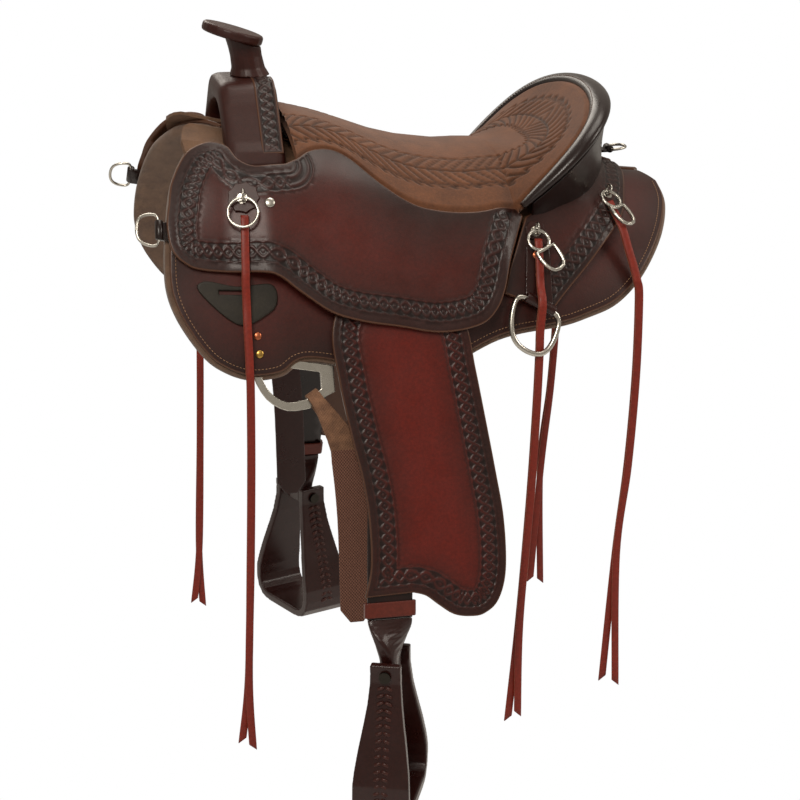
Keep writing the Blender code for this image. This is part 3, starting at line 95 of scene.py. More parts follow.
PAPER_WHITE = (1, 1, 1, 1)
FLOOR_HEIGHT = -1.02
world = bpy.data.worlds.new("studio air")
bpy.context.scene.world = world
paper = bpy.data.materials.new("white studio paper")
for owner, lit_kind, lit_inputs, seen_kind, ending in (
    (world, "Background", {"Color": colour("#fff3e4"), "Strength": 0.40}, "Background", "OutputWorld"),
    (paper, "BsdfDiffuse", {"Color": colour("#dedede")}, "Emission", "OutputMaterial"),
):
    owner.use_nodes = True
    tree = owner.node_tree
    tree.nodes.clear()
    camera_ray = node(tree, "LightPath").outputs["Is Camera Ray"]
    lit = node(tree, lit_kind, lit_inputs)
    seen = node(tree, seen_kind, {"Color": PAPER_WHITE, "Strength": 1.0})
    node(tree, ending, {0: node(tree, "MixShader", {0: camera_ray, 1: lit, 2: seen})})
bpy.ops.mesh.primitive_plane_add(size=60, location=(0, 0, FLOOR_HEIGHT))
floor = bpy.context.object
floor.name = "floor"
floor.data.materials.append(paper)

LAMP_AIM = Vector((0, 0, -0.2))
LAMP_COLOUR = (1.0, 0.93, 0.84)
for name, place, size, watts in (
    ("key softbox", (-1.3, -2.6, 2.3), 1.2, 78),
    ("top softbox", (0.5, 0.3, 2.4), 1.4, 30),
    ("side softbox", (2.4, -0.9, 1.2), 0.9, 26),
    ("off side softbox", (-0.6, 2.6, 1.7), 1.6, 34),
):
    lamp = bpy.data.lights.new(name, "AREA")
    lamp.size = size
    lamp.energy = watts
    lamp.color = LAMP_COLOUR
    lamp_object = bpy.data.objects.new(name, lamp)
    lamp_object.location = place
    lamp_object.rotation_euler = (LAMP_AIM - Vector(place)).to_track_quat("-Z", "Y").to_euler()
    bpy.context.scene.collection.objects.link(lamp_object)


# The body that the leather lies on: the same back line and sides as the frame, on a fine lattice.
# Its sections stand at STATIONS along X, each through a ridge, shoulder, flank, loin and hem, as (Y, Z).
def ease(start, end, value):
    share = np.clip((value - start) / (end - start), 0.0, 1.0)
    return share * share * (3 - 2 * share)


def smooth_path(points, steps, closed=False):
    """Points on a smooth curve through the given ones, with some steps between each two."""
    points = np.array(points, float)
    count = len(points)
    picks = np.arange(-1, count + 2)
    picks = picks % count if closed else np.clip(picks, 0, count - 1)
    found = []
    for i in range(count if closed else count - 1):
        a, b, c, d = points[picks[i:i + 4]]
        for t in np.arange(steps) / steps:
            found.append(0.5 * (2 * b + (c - a) * t + (2 * a - 5 * b + 4 * c - d) * t**2
                                + (3 * b - a - 3 * c + d) * t**3))
    if not closed:
        found.append(points[-1])
    return np.array(found)


def run_along(line):
    """How far along a line each of its points lies."""
    return np.concatenate([[0.0], np.cumsum(np.linalg.norm(np.diff(line, axis=0), axis=1))])


STATIONS = np.array((-0.350, -0.200, 0.0, 0.150, 0.300))
RIDGE = np.array(((0, 0.096), (0, 0.060), (0, 0.012), (0, 0.004), (0, -0.010)))
SHOULDER = np.array(((0.070, 0.078), (0.070, 0.044), (0.080, -0.002), (0.078, -0.009), (0.062, -0.024)))
FLANK = np.array(((0.155, -0.008), (0.158, -0.033), (0.160, -0.060), (0.152, -0.062), (0.128, -0.068)))
LOIN = np.array(((0.196, -0.095), (0.203, -0.110), (0.206, -0.132), (0.192, -0.122), (0.165, -0.116)))
HEM = np.array(((0.230, -0.190), (0.234, -0.200), (0.234, -0.215), (0.214, -0.190), (0.193, -0.174)))
# How far the sides go on straight below the hem, for what hangs there.
BELOW_HEM = 0.4


def between_stations(values, x):
    """A row of knots at x, read smoothly between the stations."""
    slopes = np.gradient(values, STATIONS, axis=0)
    if x <= STATIONS[0]:
        return values[0] + slopes[0] * (x - STATIONS[0])
    if x >= STATIONS[-1]:
        return values[-1] + slopes[-1] * (x - STATIONS[-1])
    i = int(np.searchsorted(STATIONS, x) - 1)
    width = STATIONS[i + 1] - STATIONS[i]
    t = (x - STATIONS[i]) / width
    return ((2 * t**3 - 3 * t**2 + 1) * values[i] + (t**3 - 2 * t**2 + t) * width * slopes[i]
            + (3 * t**2 - 2 * t**3) * values[i + 1] + (t**3 - t**2) * width * slopes[i + 1])


def section(x):
    """Half of the body's section at x: distance out, height, and distance down the side."""
    knots = [between_stations(row, x) for row in (RIDGE, SHOULDER, FLANK, LOIN, HEM)]
    line = smooth_path([(-knots[1][0], knots[1][1]), *knots], 12)[12:]
    fall = (line[-1] - knots[3]) / np.linalg.norm(line[-1] - knots[3])
    line = np.vstack([line, line[-1] + fall * BELOW_HEM])
    return line[:, 0], line[:, 1], run_along(line)


def depth_at(depth, u, v):
    """A depth at each spot, from one number, one number for each spot, or a function of the place."""
    return np.broadcast_to(depth(u, v) if callable(depth) else depth, u.shape)


class Lattice:
    """A surface held as points and outward normals; place() lifts spots off it by a depth."""

    def __init__(self, columns, rows, grid):
        self.u0, self.du = columns[0], columns[1] - columns[0]
        self.v0, self.dv = rows[0], rows[1] - rows[0]
        self.points = grid
        along = np.gradient(grid, axis=0)
        down = np.gradient(grid, axis=1)
        normals = np.cross(down, along)
        self.normals = normals / np.linalg.norm(normals, axis=2, keepdims=True)

    def place(self, u, v, depth=0.0, side=-1):
        """Spots in space, lifted off the surface. side is -1 on the near side and 1 on the off side."""
        u, v = np.atleast_1d(np.asarray(u, float)), np.atleast_1d(np.asarray(v, float))
        fu, fv = (u - self.u0) / self.du, (v - self.v0) / self.dv
        i = np.clip(fu.astype(int), 0, self.points.shape[0] - 2)
        j = np.clip(fv.astype(int), 0, self.points.shape[1] - 2)
        fu, fv = (fu - i)[:, None], (fv - j)[:, None]
        spot, out = (
            g[i, j] * (1 - fu) * (1 - fv) + g[i + 1, j] * fu * (1 - fv) + g[i, j + 1] * (1 - fu) * fv
            + g[i + 1, j + 1] * fu * fv for g in (self.points, self.normals)
        )
        out = out / np.linalg.norm(out, axis=1, keepdims=True)
        spot = spot + out * depth_at(depth, u, v)[:, None]
        return spot * np.array((1, -side, 1))

    def frame(self, u, v, depth=0.0, side=-1):
        """The place at (u, v) with its outward, rearward and downward directions."""
        here, beside, below = (Vector(self.place(u + a, v + b, depth, side)[0])
                               for a, b in ((0, 0), (0.004, 0), (0, 0.004)))
        rear, down = (beside - here).normalized(), (below - here).normalized()
        out = down.cross(rear).normalized() * -side
        fall = out.cross(rear)
        return here, out, rear, fall if fall.z < 0 else -fall


LATTICE_STEP = 0.005
body_columns = np.arange(-0.380, 0.360, LATTICE_STEP)
body_rows = np.arange(0.0, 0.460, LATTICE_STEP)
grid = np.zeros((len(body_columns), len(body_rows), 3))
for i, x in enumerate(body_columns):
    out, high, down = section(x)
    grid[i, :, 0] = x
    grid[i, :, 1] = -np.interp(body_rows, down, out)
    grid[i, :, 2] = np.interp(body_rows, down, high)
body = Lattice(body_columns, body_rows, grid)

# The air between two leathers that lie on each other, and what lies between the body and the leather:
# the tree's bars, which fade out forwards, rearwards and down the side, then the skirts and the jockeys.
GAP = 0.0006
BAR_FRONT, BAR_BACK, BAR_LOW = (-0.330, -0.240), (0.200, 0.290), (0.120, 0.250)
BAR_LIFT = 0.021
SEAT_LIFT = 0.015
UNDER_LIFT = 0.003
BACK_THICK, JOCKEY_THICK = 0.0045, 0.005


def tree_share(x, s):
    return ease(*BAR_FRONT, x) * (1 - ease(*BAR_BACK, x)) * (1 - ease(*BAR_LOW, s))


def back_under(x, s):
    return UNDER_LIFT + BAR_LIFT * tree_share(x, s)


def back_top(x, s):
    return back_under(x, s) + BACK_THICK


def jockey_under(x, s):
    return back_under(x, s) + SEAT_LIFT * ease(-0.250, -0.190, x) * (1 - ease(0.080, 0.120, x))


def jockey_top(x, s):
    return jockey_under(x, s) + JOCKEY_THICK


# Panels: a sheet cut to an outline, laid on a surface, with rounded edges and a stamped border.
# The border is a chain of interlocking loops between two grooves, struck with hand stamps on damp leather.
def outline(knots, steps=8):
    """A closed line through knots; one marked True is a sharp corner."""
    knots = [tuple(k) for k in knots]
    sharp = [i for i, k in enumerate(knots) if len(k) == 3]
    flat = [k[:2] for k in knots]
    if not sharp:
        return smooth_path(flat, steps, True)
    found = []
    turned = flat[sharp[0]:] + flat[:sharp[0]] + [flat[sharp[0]]]
    marks = [i - sharp[0] for i in sharp] + [len(flat)]
    for a, b in zip(marks, marks[1:]):
        found.append(smooth_path(turned[a:b + 1], steps)[:-1])
    return np.vstack(found)


def even(line, step, closed=True):
    """Points at even steps along a line."""
    if closed:
        line = np.vstack([line, line[:1]])
    run = run_along(line)
    count = max(int(run[-1] / step), 4)
    at = np.linspace(0, run[-1], count + 1)
    spots = np.stack([np.interp(at, run, line[:, k]) for k in range(line.shape[1])], 1)
    return spots[:-1] if closed else spots


def nearest(spots, line, closed=True):
    """Each spot's distance to a line, and how far along the line it lies."""
    ends = np.vstack([line[1:], line[:1]]) if closed else line[1:]
    starts = line if closed else line[:-1]
    spans = ends - starts
    length = np.maximum(np.linalg.norm(spans, axis=1), 1e-9)
    run = np.concatenate([[0.0], np.cumsum(length)])[:-1]
    distance, along = np.zeros(len(spots)), np.zeros(len(spots))
    for k in range(0, len(spots), 4000):
        part = spots[k:k + 4000, None, :] - starts[None]
        t = np.clip((part * spans).sum(2) / length**2, 0, 1)
        gap = np.linalg.norm(part - t[..., None] * spans, axis=2)
        best = gap.argmin(1)
        pick = np.arange(len(best))
        distance[k:k + 4000] = gap[pick, best]
        along[k:k + 4000] = run[best] + t[pick, best] * length[best]
    return distance, along


def inside(spots, loops):
    """Which spots lie within the loops, counted by crossings."""
    result = np.zeros(len(spots), bool)
    for loop in loops:
        ends = np.roll(loop, -1, axis=0)
        for (x0, y0), (x1, y1) in zip(loop, ends):
            if y0 == y1:
                continue
            crossing = (spots[:, 1] > min(y0, y1)) & (spots[:, 1] <= max(y0, y1))
            result ^= crossing & (spots[:, 0] < x0 + (spots[:, 1] - y0) * (x1 - x0) / (y1 - y0))
    return result


def honeycomb(low, high, step):
    """Spots in staggered rows over a box."""
    xs = np.arange(low[0], high[0] + step, step)
    ys = np.arange(low[1], high[1] + step, step * 0.87)
    gx, gy = np.meshgrid(xs, ys)
    gx[1::2] += step / 2
    return np.stack([gx.ravel(), gy.ravel()], 1)


LOOP_LONG, LOOP_WIDE = 0.0245, 0.0112


def chain_stamp(along, across):
    """How deep the chain is stamped: 0 on its two strands and the eyes between, 1 in the ground."""
    x = along * math.tau / LOOP_LONG
    y = across / LOOP_WIDE
    wave = 0.52 * np.sin(x)
    over = 0.5 + 0.5 * np.cos(x)
    first = np.exp(-(((y - wave) / 0.20) ** 2)) * (0.72 + 0.28 * over)
    second = np.exp(-(((y + wave) / 0.20) ** 2)) * (1.0 - 0.28 * over)
    eye = np.exp(-((y / 0.17) ** 2) - ((np.mod(x + math.pi, math.pi) - math.pi / 2) / 0.42) ** 2)
    rim = 0.80 + 0.14 * np.abs(np.cos(x))
    ground = 1 - ease(rim - 0.10, rim + 0.05, np.abs(y))
    return ground * (1 - np.clip(np.maximum(first, second) * 1.15 + 0.75 * eye, 0, 1))


def add_object(name, verts, faces, finish, **attributes):
    """A smooth mesh in the scene, with one material and a value at each point for each attribute."""
    mesh = bpy.data.meshes.new(name)
    mesh.from_pydata([tuple(v) for v in verts], [], [tuple(int(i) for i in f) for f in faces])
    mesh.materials.append(finish)
    for key, values in attributes.items():
        mesh.attributes.new(key, "FLOAT", "POINT").data.foreach_set("value", np.asarray(values, np.float32))
    mesh.polygons.foreach_set("use_smooth", [True] * len(mesh.polygons))
    mesh.update()
    made = bpy.data.objects.new(name, mesh)
    bpy.context.scene.collection.objects.link(made)
    return made


def turn_outward(made, weld=0.0):
    """Makes a closed mesh's faces look outwards, after points closer than weld are joined."""
    bm = bmesh.new()
    bm.from_mesh(made.data)
    if weld:
        bmesh.ops.remove_doubles(bm, verts=bm.verts, dist=weld)
    bmesh.ops.recalc_face_normals(bm, faces=bm.faces)
    bm.to_mesh(made.data)
    bm.free()
    return made


def cut_sheet(spots, bonds, loops):
    """Triangles between spots on a flat sheet, kept only inside the loops."""
    verts, _, faces, _, _, _ = delaunay_2d_cdt([Vector(p) for p in spots], bonds, [], 0, 1e-7)
    spots = np.array(verts)
    faces = np.array([f for f in faces if len(f) == 3])
    return spots, faces[inside(spots[faces].mean(1), loops)]


# Spacing of points along a cut edge, below the stamps and under a sheet. The chain's band reaches STAMP_HALF
# from its middle, plain leather is spaced coarser from PLAIN_FROM, and a groove runs at GROOVE_OUT.
EDGE_STEP, STAMP_STEP, UNDER_STEP = 0.0016, 0.00115, 0.012
STAMP_HALF, PLAIN_FROM, STAMP_DEPTH = 0.0125, 0.0135, 0.0011
GROOVE_OUT, GROOVE_WIDE = 0.0122, 0.0006
STAMP_MARGIN, GROOVE_MARGIN, UNDER_MARGIN = 0.004, 0.002, 0.004


def panel(name, loops, surface, under, top, side, finish, border=None, inset=0.0, spacing=0.005, soft=0.0016):
    """A sheet cut to loops and laid on a surface between two depths, stamped at an inset from border."""
    loops = [even(loop, EDGE_STEP) for loop in loops]
    edge_spots = np.vstack(loops)
    low, high = edge_spots.min(0), edge_spots.max(0)
    field = honeycomb(low, high, spacing)
    if border is not None:
        guide = even(border, 0.004, False)
        fine = honeycomb(low, high, STAMP_STEP)
        fine = fine[np.abs(nearest(fine, guide, False)[0] - inset) < STAMP_HALF]
        field = np.vstack([fine, field[np.abs(nearest(field, guide, False)[0] - inset) > PLAIN_FROM]])
    field = field[inside(field, loops)]

    def to_edge(spots):
        return np.min([nearest(spots, loop)[0] for loop in loops], axis=0)

    field = field[to_edge(field) > soft * 1.15]
    rings = []
    for loop in loops:
        ahead = np.roll(loop, -1, axis=0) - np.roll(loop, 1, axis=0)
        across = np.stack([-ahead[:, 1], ahead[:, 0]], 1) / np.linalg.norm(ahead, axis=1, keepdims=True)
        for off in (soft * 0.18, soft * 0.5, soft):
            for sign in (1, -1):
                ring = loop + across * off * sign
                ring = ring[inside(ring, loops)]
                rings.append(ring[to_edge(ring) > off * 0.93])
    bonds, start = [], 0
    for loop in loops:
        count = len(loop)
        bonds += [(start + i, start + (i + 1) % count) for i in range(count)]
        start += count
    spots, faces = cut_sheet(np.vstack([edge_spots, *rings, field]), bonds, loops)
    distance = to_edge(spots)
    rounding = soft * (1 - np.sqrt(np.clip(1 - (1 - np.clip(distance / soft, 0, 1)) ** 2, 0, 1)))
    press = np.zeros(len(spots))
    if border is not None:
        reach, along = nearest(spots, even(border, 0.002, False), False)
        press = chain_stamp(along, reach - inset) * (distance > STAMP_MARGIN)
        groove = np.exp(-(((np.abs(reach - inset) - GROOVE_OUT) / GROOVE_WIDE) ** 2))
        press = np.clip(press + 0.6 * groove * (distance > GROOVE_MARGIN), 0, 1)
    upper = surface.place(*spots.T, depth_at(top, *spots.T) - rounding - STAMP_DEPTH * press, side)
    field = honeycomb(low, high, UNDER_STEP)
    field = field[inside(field, loops)]
    field = field[to_edge(field) > UNDER_MARGIN]
    low_spots, low_faces = cut_sheet(np.vstack([edge_spots, field]), bonds, loops)
    lower = surface.place(*low_spots.T, under, side)
    shift = len(upper)
    bottom = (shift + low_faces[:, ::-1]).tolist()
    wall = [(a, b, shift + b, shift + a) for a, b in bonds]
    bare = np.zeros(len(lower))
    made = add_object(name, np.vstack([upper, lower]), [*faces.tolist(), *bottom, *wall], finish,
                      edge=np.concatenate([distance, bare]), press=np.concatenate([press, bare]))
    return turn_outward(made)


def piece(made, body_name, slot, *nodes):
    """Hands a piece over to the frame: its body, and the nodes it stands for, which it hides. slot, its
    finish, is not used.
    """
    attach(made, body_name)
    if nodes:
        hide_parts(*nodes)
    return made


# Skirts of stained skirting leather on thick felt, which shows as a tan line below their sewn edge.
# The leather is vegetable tanned, stained and antiqued, and sewn to the felt in waxed thread.
def grey(value):
    return (value, value, value, 1.0)


def material(name):
    """A fresh material, with its tree, its shader, and the place in metres of each spot of the piece."""
    made = bpy.data.materials.new(name)
    made.use_nodes = True
    tree = made.node_tree
    return made, tree, tree.nodes["Principled BSDF"], node(tree, "NewGeometry")


# Widths in metres: drum clouds, specks and hand wear, and the grain's pores and pebbles, which are drawn
# about four times as coarse as real ones so that they show.
CLOUD, SPECK, WEAR, PORE, PEBBLE = 1 / 9, 1 / 260, 1 / 30, 1 / 400, 1 / 900
PEBBLE_HIGH = 0.00012
BEVEL = 0.004
# A pale colour laid on the rounded bevel along the leather's edges: a painted highlight.
BEVEL_HIGHLIGHT = "#5a3a28"


def leather(name, dark, open_face, rough=0.36, glow_far=0.075, coat=0.12, rim=0.0):
    """Oiled leather: dark at the worked edge, redder away from it, with a fine pebbled grain."""
    made, tree, shader, where = material(name)
    edge = node(tree, "Attribute", attribute_name="edge").outputs["Fac"]
    press = node(tree, "Attribute", attribute_name="press").outputs["Fac"]
    cloud, speck, wear, pore = (
        node(tree, "TexNoise", {"Vector": where, "Scale": 1 / width, "Detail": detail, "Roughness": 0.55})
        for width, detail in ((CLOUD, 4), (SPECK, 3), (WEAR, 4), (PORE, 3)))
    away = node(tree, "Math", {0: edge, 1: glow_far}, operation="DIVIDE")
    patchy = node(tree, "Math", {0: cloud, 1: 0.5}, operation="MULTIPLY")
    reach = node(tree, "Math", {0: away, 1: patchy}, operation="ADD")
    reach = node(tree, "Math", {0: reach, 1: 0.28}, operation="SUBTRACT")
    base = node(tree, "ValToRGB", {0: reach}, ((0.0, colour(dark)), (1.0, colour(open_face))))
    speck = node(tree, "ValToRGB", {0: speck}, ((0.35, grey(0.80)), (0.7, grey(1.08))))
    mixed = node(tree, "Mix", {0: 1.0, 6: base, 7: speck}, data_type="RGBA", blend_type="MULTIPLY")
    # rim mixes the outer one to two millimetres toward the pale bevel colour: a painted highlight along the
    # edge.
    bevel = node(tree, "Math", {0: edge, 1: BEVEL}, operation="DIVIDE")
    bevel = node(tree, "ValToRGB", {0: bevel}, ((0.25, grey(1.0)), (0.55, grey(0.0))))
    cut = node(tree, "Math", {0: bevel, 1: rim}, operation="MULTIPLY")
    mixed = node(tree, "Mix", {0: cut, 6: mixed.outputs[2], 7: colour(BEVEL_HIGHLIGHT)}, data_type="RGBA")
    sunk = node(tree, "ValToRGB", {0: press}, ((0.0, grey(1.0)), (1.0, grey(0.20))))
    mixed = node(tree, "Mix", {0: 1.0, 6: mixed.outputs[2], 7: sunk}, data_type="RGBA", blend_type="MULTIPLY")
    wear = node(tree, "ValToRGB", {0: wear}, ((0.3, grey(rough - 0.05)), (0.75, grey(rough + 0.10))))
    cells = node(tree, "TexVoronoi", {"Vector": where, "Scale": 1 / PEBBLE})
    grain = node(tree, "Math", {0: cells, 1: pore}, operation="ADD")
    grain = node(tree, "Bump", {"Height": grain, "Distance": PEBBLE_HIGH, "Strength": 0.6})
    feed(tree, shader, {"Base Color": mixed.outputs[2], "Roughness": wear, "Normal": grain,
                        "Coat Weight": coat, "Coat Roughness": 0.22, "Specular IOR Level": 0.28})
    return made


# Stamped skirting leather: wine red in the open, near black toward its edges, with a painted highlight on the
# rounded bevel.
skirting = leather("stamped skirting leather", "#240d09", "#48130b", rough=0.42, rim=0.75)


def cloth(name, low, high, blot, rough=0.95, sheen=0.4, fuzz=0.0005):
    """A fibrous surface, mottled at the width blot and fourteen times finer, soft at grazing light."""
    made, tree, shader, where = material(name)
    coarse, fine = (
        node(tree, "TexNoise", {"Vector": where, "Scale": finer / blot, "Detail": detail, "Roughness": 0.7})
        for finer, detail in ((1, 5), (14, 4)))
    blots = node(tree, "Math", {0: coarse, 1: 0.6}, operation="MULTIPLY")
    fibres = node(tree, "Math", {0: fine, 1: 0.4}, operation="MULTIPLY")
    both = node(tree, "Math", {0: blots, 1: fibres}, operation="ADD")
    base = node(tree, "ValToRGB", {0: both}, ((0.33, colour(low)), (0.66, colour(high))))
    # Where press is set, as in the seat's sunk stitch lines, the colour is darkened: painted shade in the
    # channels.
    press = node(tree, "Attribute", attribute_name="press").outputs["Fac"]
    sunk = node(tree, "ValToRGB", {0: press}, ((0.0, grey(1.0)), (1.0, grey(0.35))))
    mixed = node(tree, "Mix", {0: 1.0, 6: base, 7: sunk}, data_type="RGBA", blend_type="MULTIPLY")
    nap = node(tree, "Bump", {"Height": fine, "Distance": fuzz, "Strength": 0.7})
    feed(tree, shader, {"Base Color": mixed.outputs[2], "Roughness": rough, "Normal": nap,
                        "Sheen Weight": sheen, "Sheen Roughness": 0.6})
    return made


# Pressed wool felt in tan, matt and mottled. Waxed thread, paler than the leather, so that the seam shows.
felt = cloth("pressed wool felt", "#46342a", "#6d5442", 1 / 60, sheen=0.15, fuzz=0.0009)
pale_thread = cloth("waxed tan thread", "#7c5a40", "#9c7656", 1 / 300, rough=0.6, sheen=0.0)


def grains(name, verts, count, finish):
    """Many small closed grains in one object, each skinned through five rings of count points."""
    faces = []
    for base in range(0, len(verts), 5 * count):
        for start in range(base, base + 4 * count, count):
            for k in range(count):
                a, b = start + k, start + (k + 1) % count
                faces.append((a, b, b + count, a + count))
        faces.append([base + k for k in reversed(range(count))])
        faces.append([base + 4 * count + k for k in range(count)])
    return add_object(name, verts, faces, finish)


def stitches(name, line, outward, finish, length=0.0030, gap=0.0013, radius=0.00045):
    """A row of short threads lying on a seam, each a rounded grain that dips at both ends."""
    line = np.array([tuple(p) for p in line])
    outward = np.array([tuple(p) for p in outward])
    run = run_along(line)
    verts = []
    for start in np.arange(0, run[-1] - length, length + gap):
        stops = start + length * np.array((0.0, 0.2, 0.5, 0.8, 1.0))
        at = np.stack([np.interp(stops, run, line[:, k]) for k in range(3)], 1)
        out = np.array([np.interp(start, run, outward[:, k]) for k in range(3)])
        out /= np.linalg.norm(out)
        ahead = at[-1] - at[0]
        ahead /= np.linalg.norm(ahead)
        aside = np.cross(out, ahead)
        for spot, size, lift in zip(at, (0.35, 0.9, 1.0, 0.9, 0.35), (-0.6, 0.35, 0.6, 0.35, -0.6)):
            for a in (math.tau * k / 6 for k in range(6)):
                verts.append(spot + (aside * math.cos(a) + out * math.sin(a)) * radius * size
                             + out * radius * lift)
    return grains(name, verts, 6, finish)


def inset_line(line, by):
    """A line moved to its left by a distance, with the loops that this makes taken out."""
    line = even(np.array(line, float), 0.002, False)
    ahead = np.gradient(line, axis=0)
    across = np.stack([-ahead[:, 1], ahead[:, 0]], 1) / np.linalg.norm(ahead, axis=1, keepdims=True)
    moved = line + across * by
    return moved[nearest(moved, line, False)[0] > abs(by) * 0.97]


SKIRT_THICK = 0.005
FELT_UNDER, FELT_TOP = -0.0190, -0.0054
FELT_OUT, SEAM_IN = 0.0055, 0.0065
SKIRT_EDGE = (
    (-0.268, 0.080), (-0.292, 0.136), (-0.306, 0.208), (-0.311, 0.255), (-0.309, 0.285),
    (-0.298, 0.314), (-0.277, 0.344), (-0.257, 0.359), (-0.227, 0.366), (-0.191, 0.358),
    (-0.155, 0.336), (-0.060, 0.338), (0.000, 0.328), (0.076, 0.292), (0.153, 0.275),
    (0.193, 0.259), (0.227, 0.240), (0.256, 0.211), (0.281, 0.175), (0.305, 0.127),
    (0.320, 0.080), (0.322, 0.040),
)
skirt_loop = outline([(-0.225, 0.008, True), (*SKIRT_EDGE[0], True), *SKIRT_EDGE[1:-1],
                      (*SKIRT_EDGE[-1], True), (0.308, 0.008, True)])
skirt_line = smooth_path(SKIRT_EDGE, 8)
felt_line = inset_line(skirt_line, FELT_OUT)
felt_loop = np.vstack([skirt_loop[:1], felt_line, [(0.308, 0.008)]])
for label, side in SIDES.items():
    piece(panel(f"skirt_leather_{label}", [skirt_loop], body, -SKIRT_THICK, 0.0, side, skirting,
                spacing=0.004), "saddle", "stamped_leather", f"skirt_{label}")
    piece(panel(f"skirt_wool_{label}", [felt_loop], body, FELT_UNDER, FELT_TOP, side, felt, spacing=0.006,
                soft=0.004), "saddle", "felt", f"skirt_felt_{label}")
    line = even(inset_line(skirt_line, -SEAM_IN), 0.002, False)
    low, high = (body.place(*line.T, lift, side) for lift in (0.0001, 0.002))
    piece(stitches(f"skirt_seam_{label}_0", low, high - low, pale_thread), "saddle", "stamped_leather")

# Seat jockeys, tooled along their outer edge with a chain of interlocking loops, dark in the hollows.
# Their inner edge meets the seat's. The back jockeys are tooled along their rear edge.
JOCKEY_BORDER_IN, BACK_BORDER_IN = 0.0225, 0.0165
SEAT_EDGE = (
    (-0.158, 0.112), (-0.140, 0.097), (-0.115, 0.091), (-0.092, 0.101), (-0.060, 0.130),
    (-0.025, 0.151), (0.011, 0.158), (0.060, 0.158), (0.107, 0.148),
)
JOCKEY_EDGE = (
    (0.116, 0.155), (0.102, 0.186), (0.091, 0.211), (0.081, 0.242), (0.069, 0.264),
    (0.047, 0.281), (0.000, 0.291), (-0.050, 0.289), (-0.097, 0.288), (-0.132, 0.282),
    (-0.165, 0.264), (-0.187, 0.250), (-0.209, 0.247), (-0.272, 0.251), (-0.294, 0.246),
    (-0.308, 0.232), (-0.312, 0.205), (-0.308, 0.178), (-0.302, 0.148), (-0.285, 0.112),
    (-0.267, 0.098), (-0.250, 0.094), (-0.236, 0.100), (-0.227, 0.117), (-0.214, 0.127),
    (-0.200, 0.128), (-0.173, 0.122),
)
CANTLE_BASE = (
    (0.122, 0.153), (0.143, 0.149), (0.163, 0.139), (0.184, 0.128), (0.208, 0.108),
    (0.233, 0.070), (0.250, 0.030), (0.254, 0.0),
)
BACK_EDGE = ((0.276, 0.040), (0.264, 0.085), (0.246, 0.135), (0.206, 0.187), (0.152, 0.250))
jockey_line = smooth_path(JOCKEY_EDGE, 8)
jockey_loop = np.vstack([smooth_path(SEAT_EDGE, 8), jockey_line])
behind = [(x + 0.003, s + 0.001, True) for x, s in JOCKEY_EDGE[3::-1]]
back_loop = outline([*[(x - 0.005, s - 0.005) for x, s in CANTLE_BASE[1:-1]], (0.249, 0.008, True),
                     (0.276, 0.008, True), *BACK_EDGE, (0.141, 0.264, True), *behind])
for label, side in SIDES.items():
    piece(panel(f"seat_jockey_leather_{label}", [jockey_loop], body, jockey_under, jockey_top, side, skirting,
                border=jockey_line, inset=JOCKEY_BORDER_IN, spacing=0.0036), "saddle", "stamped_leather",
          f"seat_jockey_{label}")
    piece(panel(f"back_jockey_leather_{label}", [back_loop], body, back_under, back_top, side, skirting,
                border=np.array(((0.276, 0.008), *BACK_EDGE, (0.141, 0.264))), inset=BACK_BORDER_IN,
                spacing=0.0036), "saddle", "stamped_leather", f"back_jockey_{label}")

# The cinch strap's keeper, a shield of olive chap leather with a slot, its face left bare.
# Chap leather is tumbled soft and waxed, which leaves it matt.
olive = leather("olive chap leather", "#211d16", "#3a3226", rough=0.50, coat=0.0)
KEEPER_EDGE = ((-0.272, 0.263), (-0.235, 0.264), (-0.196, 0.256), (-0.189, 0.272), (-0.199, 0.290),
               (-0.236, 0.309), (-0.279, 0.277))
keeper_slot = np.array(((-0.257, 0.2715), (-0.257, 0.2765), (-0.223, 0.2725), (-0.223, 0.2675)))
piece(panel("keeper_shield", [smooth_path(KEEPER_EDGE, 8, True), keeper_slot], body, GAP, 0.0044, -1, olive,
            spacing=0.003, soft=0.0012), "saddle", "olive_leather", "latigo_keeper")

# The seat: brushed suede over foam, quilted in rows of feathers that puff between their stitches.
# It spans from the ridge to the jockeys and the cantle's rim, and sinks to a hollow between them.
# The suede is split leather, brushed to a matt tan brown nap with darker hand marks.
suede = cloth("brushed rough suede", "#422411", "#663c20", 1 / 22, sheen=0.08)


def crest(x):
    return np.array((x, 0, np.interp(x, (-0.158, -0.115, -0.076, -0.035, 0.0, 0.050, 0.110),
                                     (0.089, 0.077, 0.065, 0.050, 0.041, 0.034, 0.034))))


def rim_point(w):
    turned = math.copysign(1 - (1 - abs(w)) ** 2, w) * math.pi / 2
    bow = max(math.cos(turned), 0.0) ** 0.48
    return Vector((0.112 + 0.114 * bow, 0.160 * math.sin(turned), -0.014 + 0.116 * bow))


def rim_outward(w):
    away = rim_point(w) - Vector((0.107, 0, 0))
    return Vector((away.x, away.y, 0)).normalized()


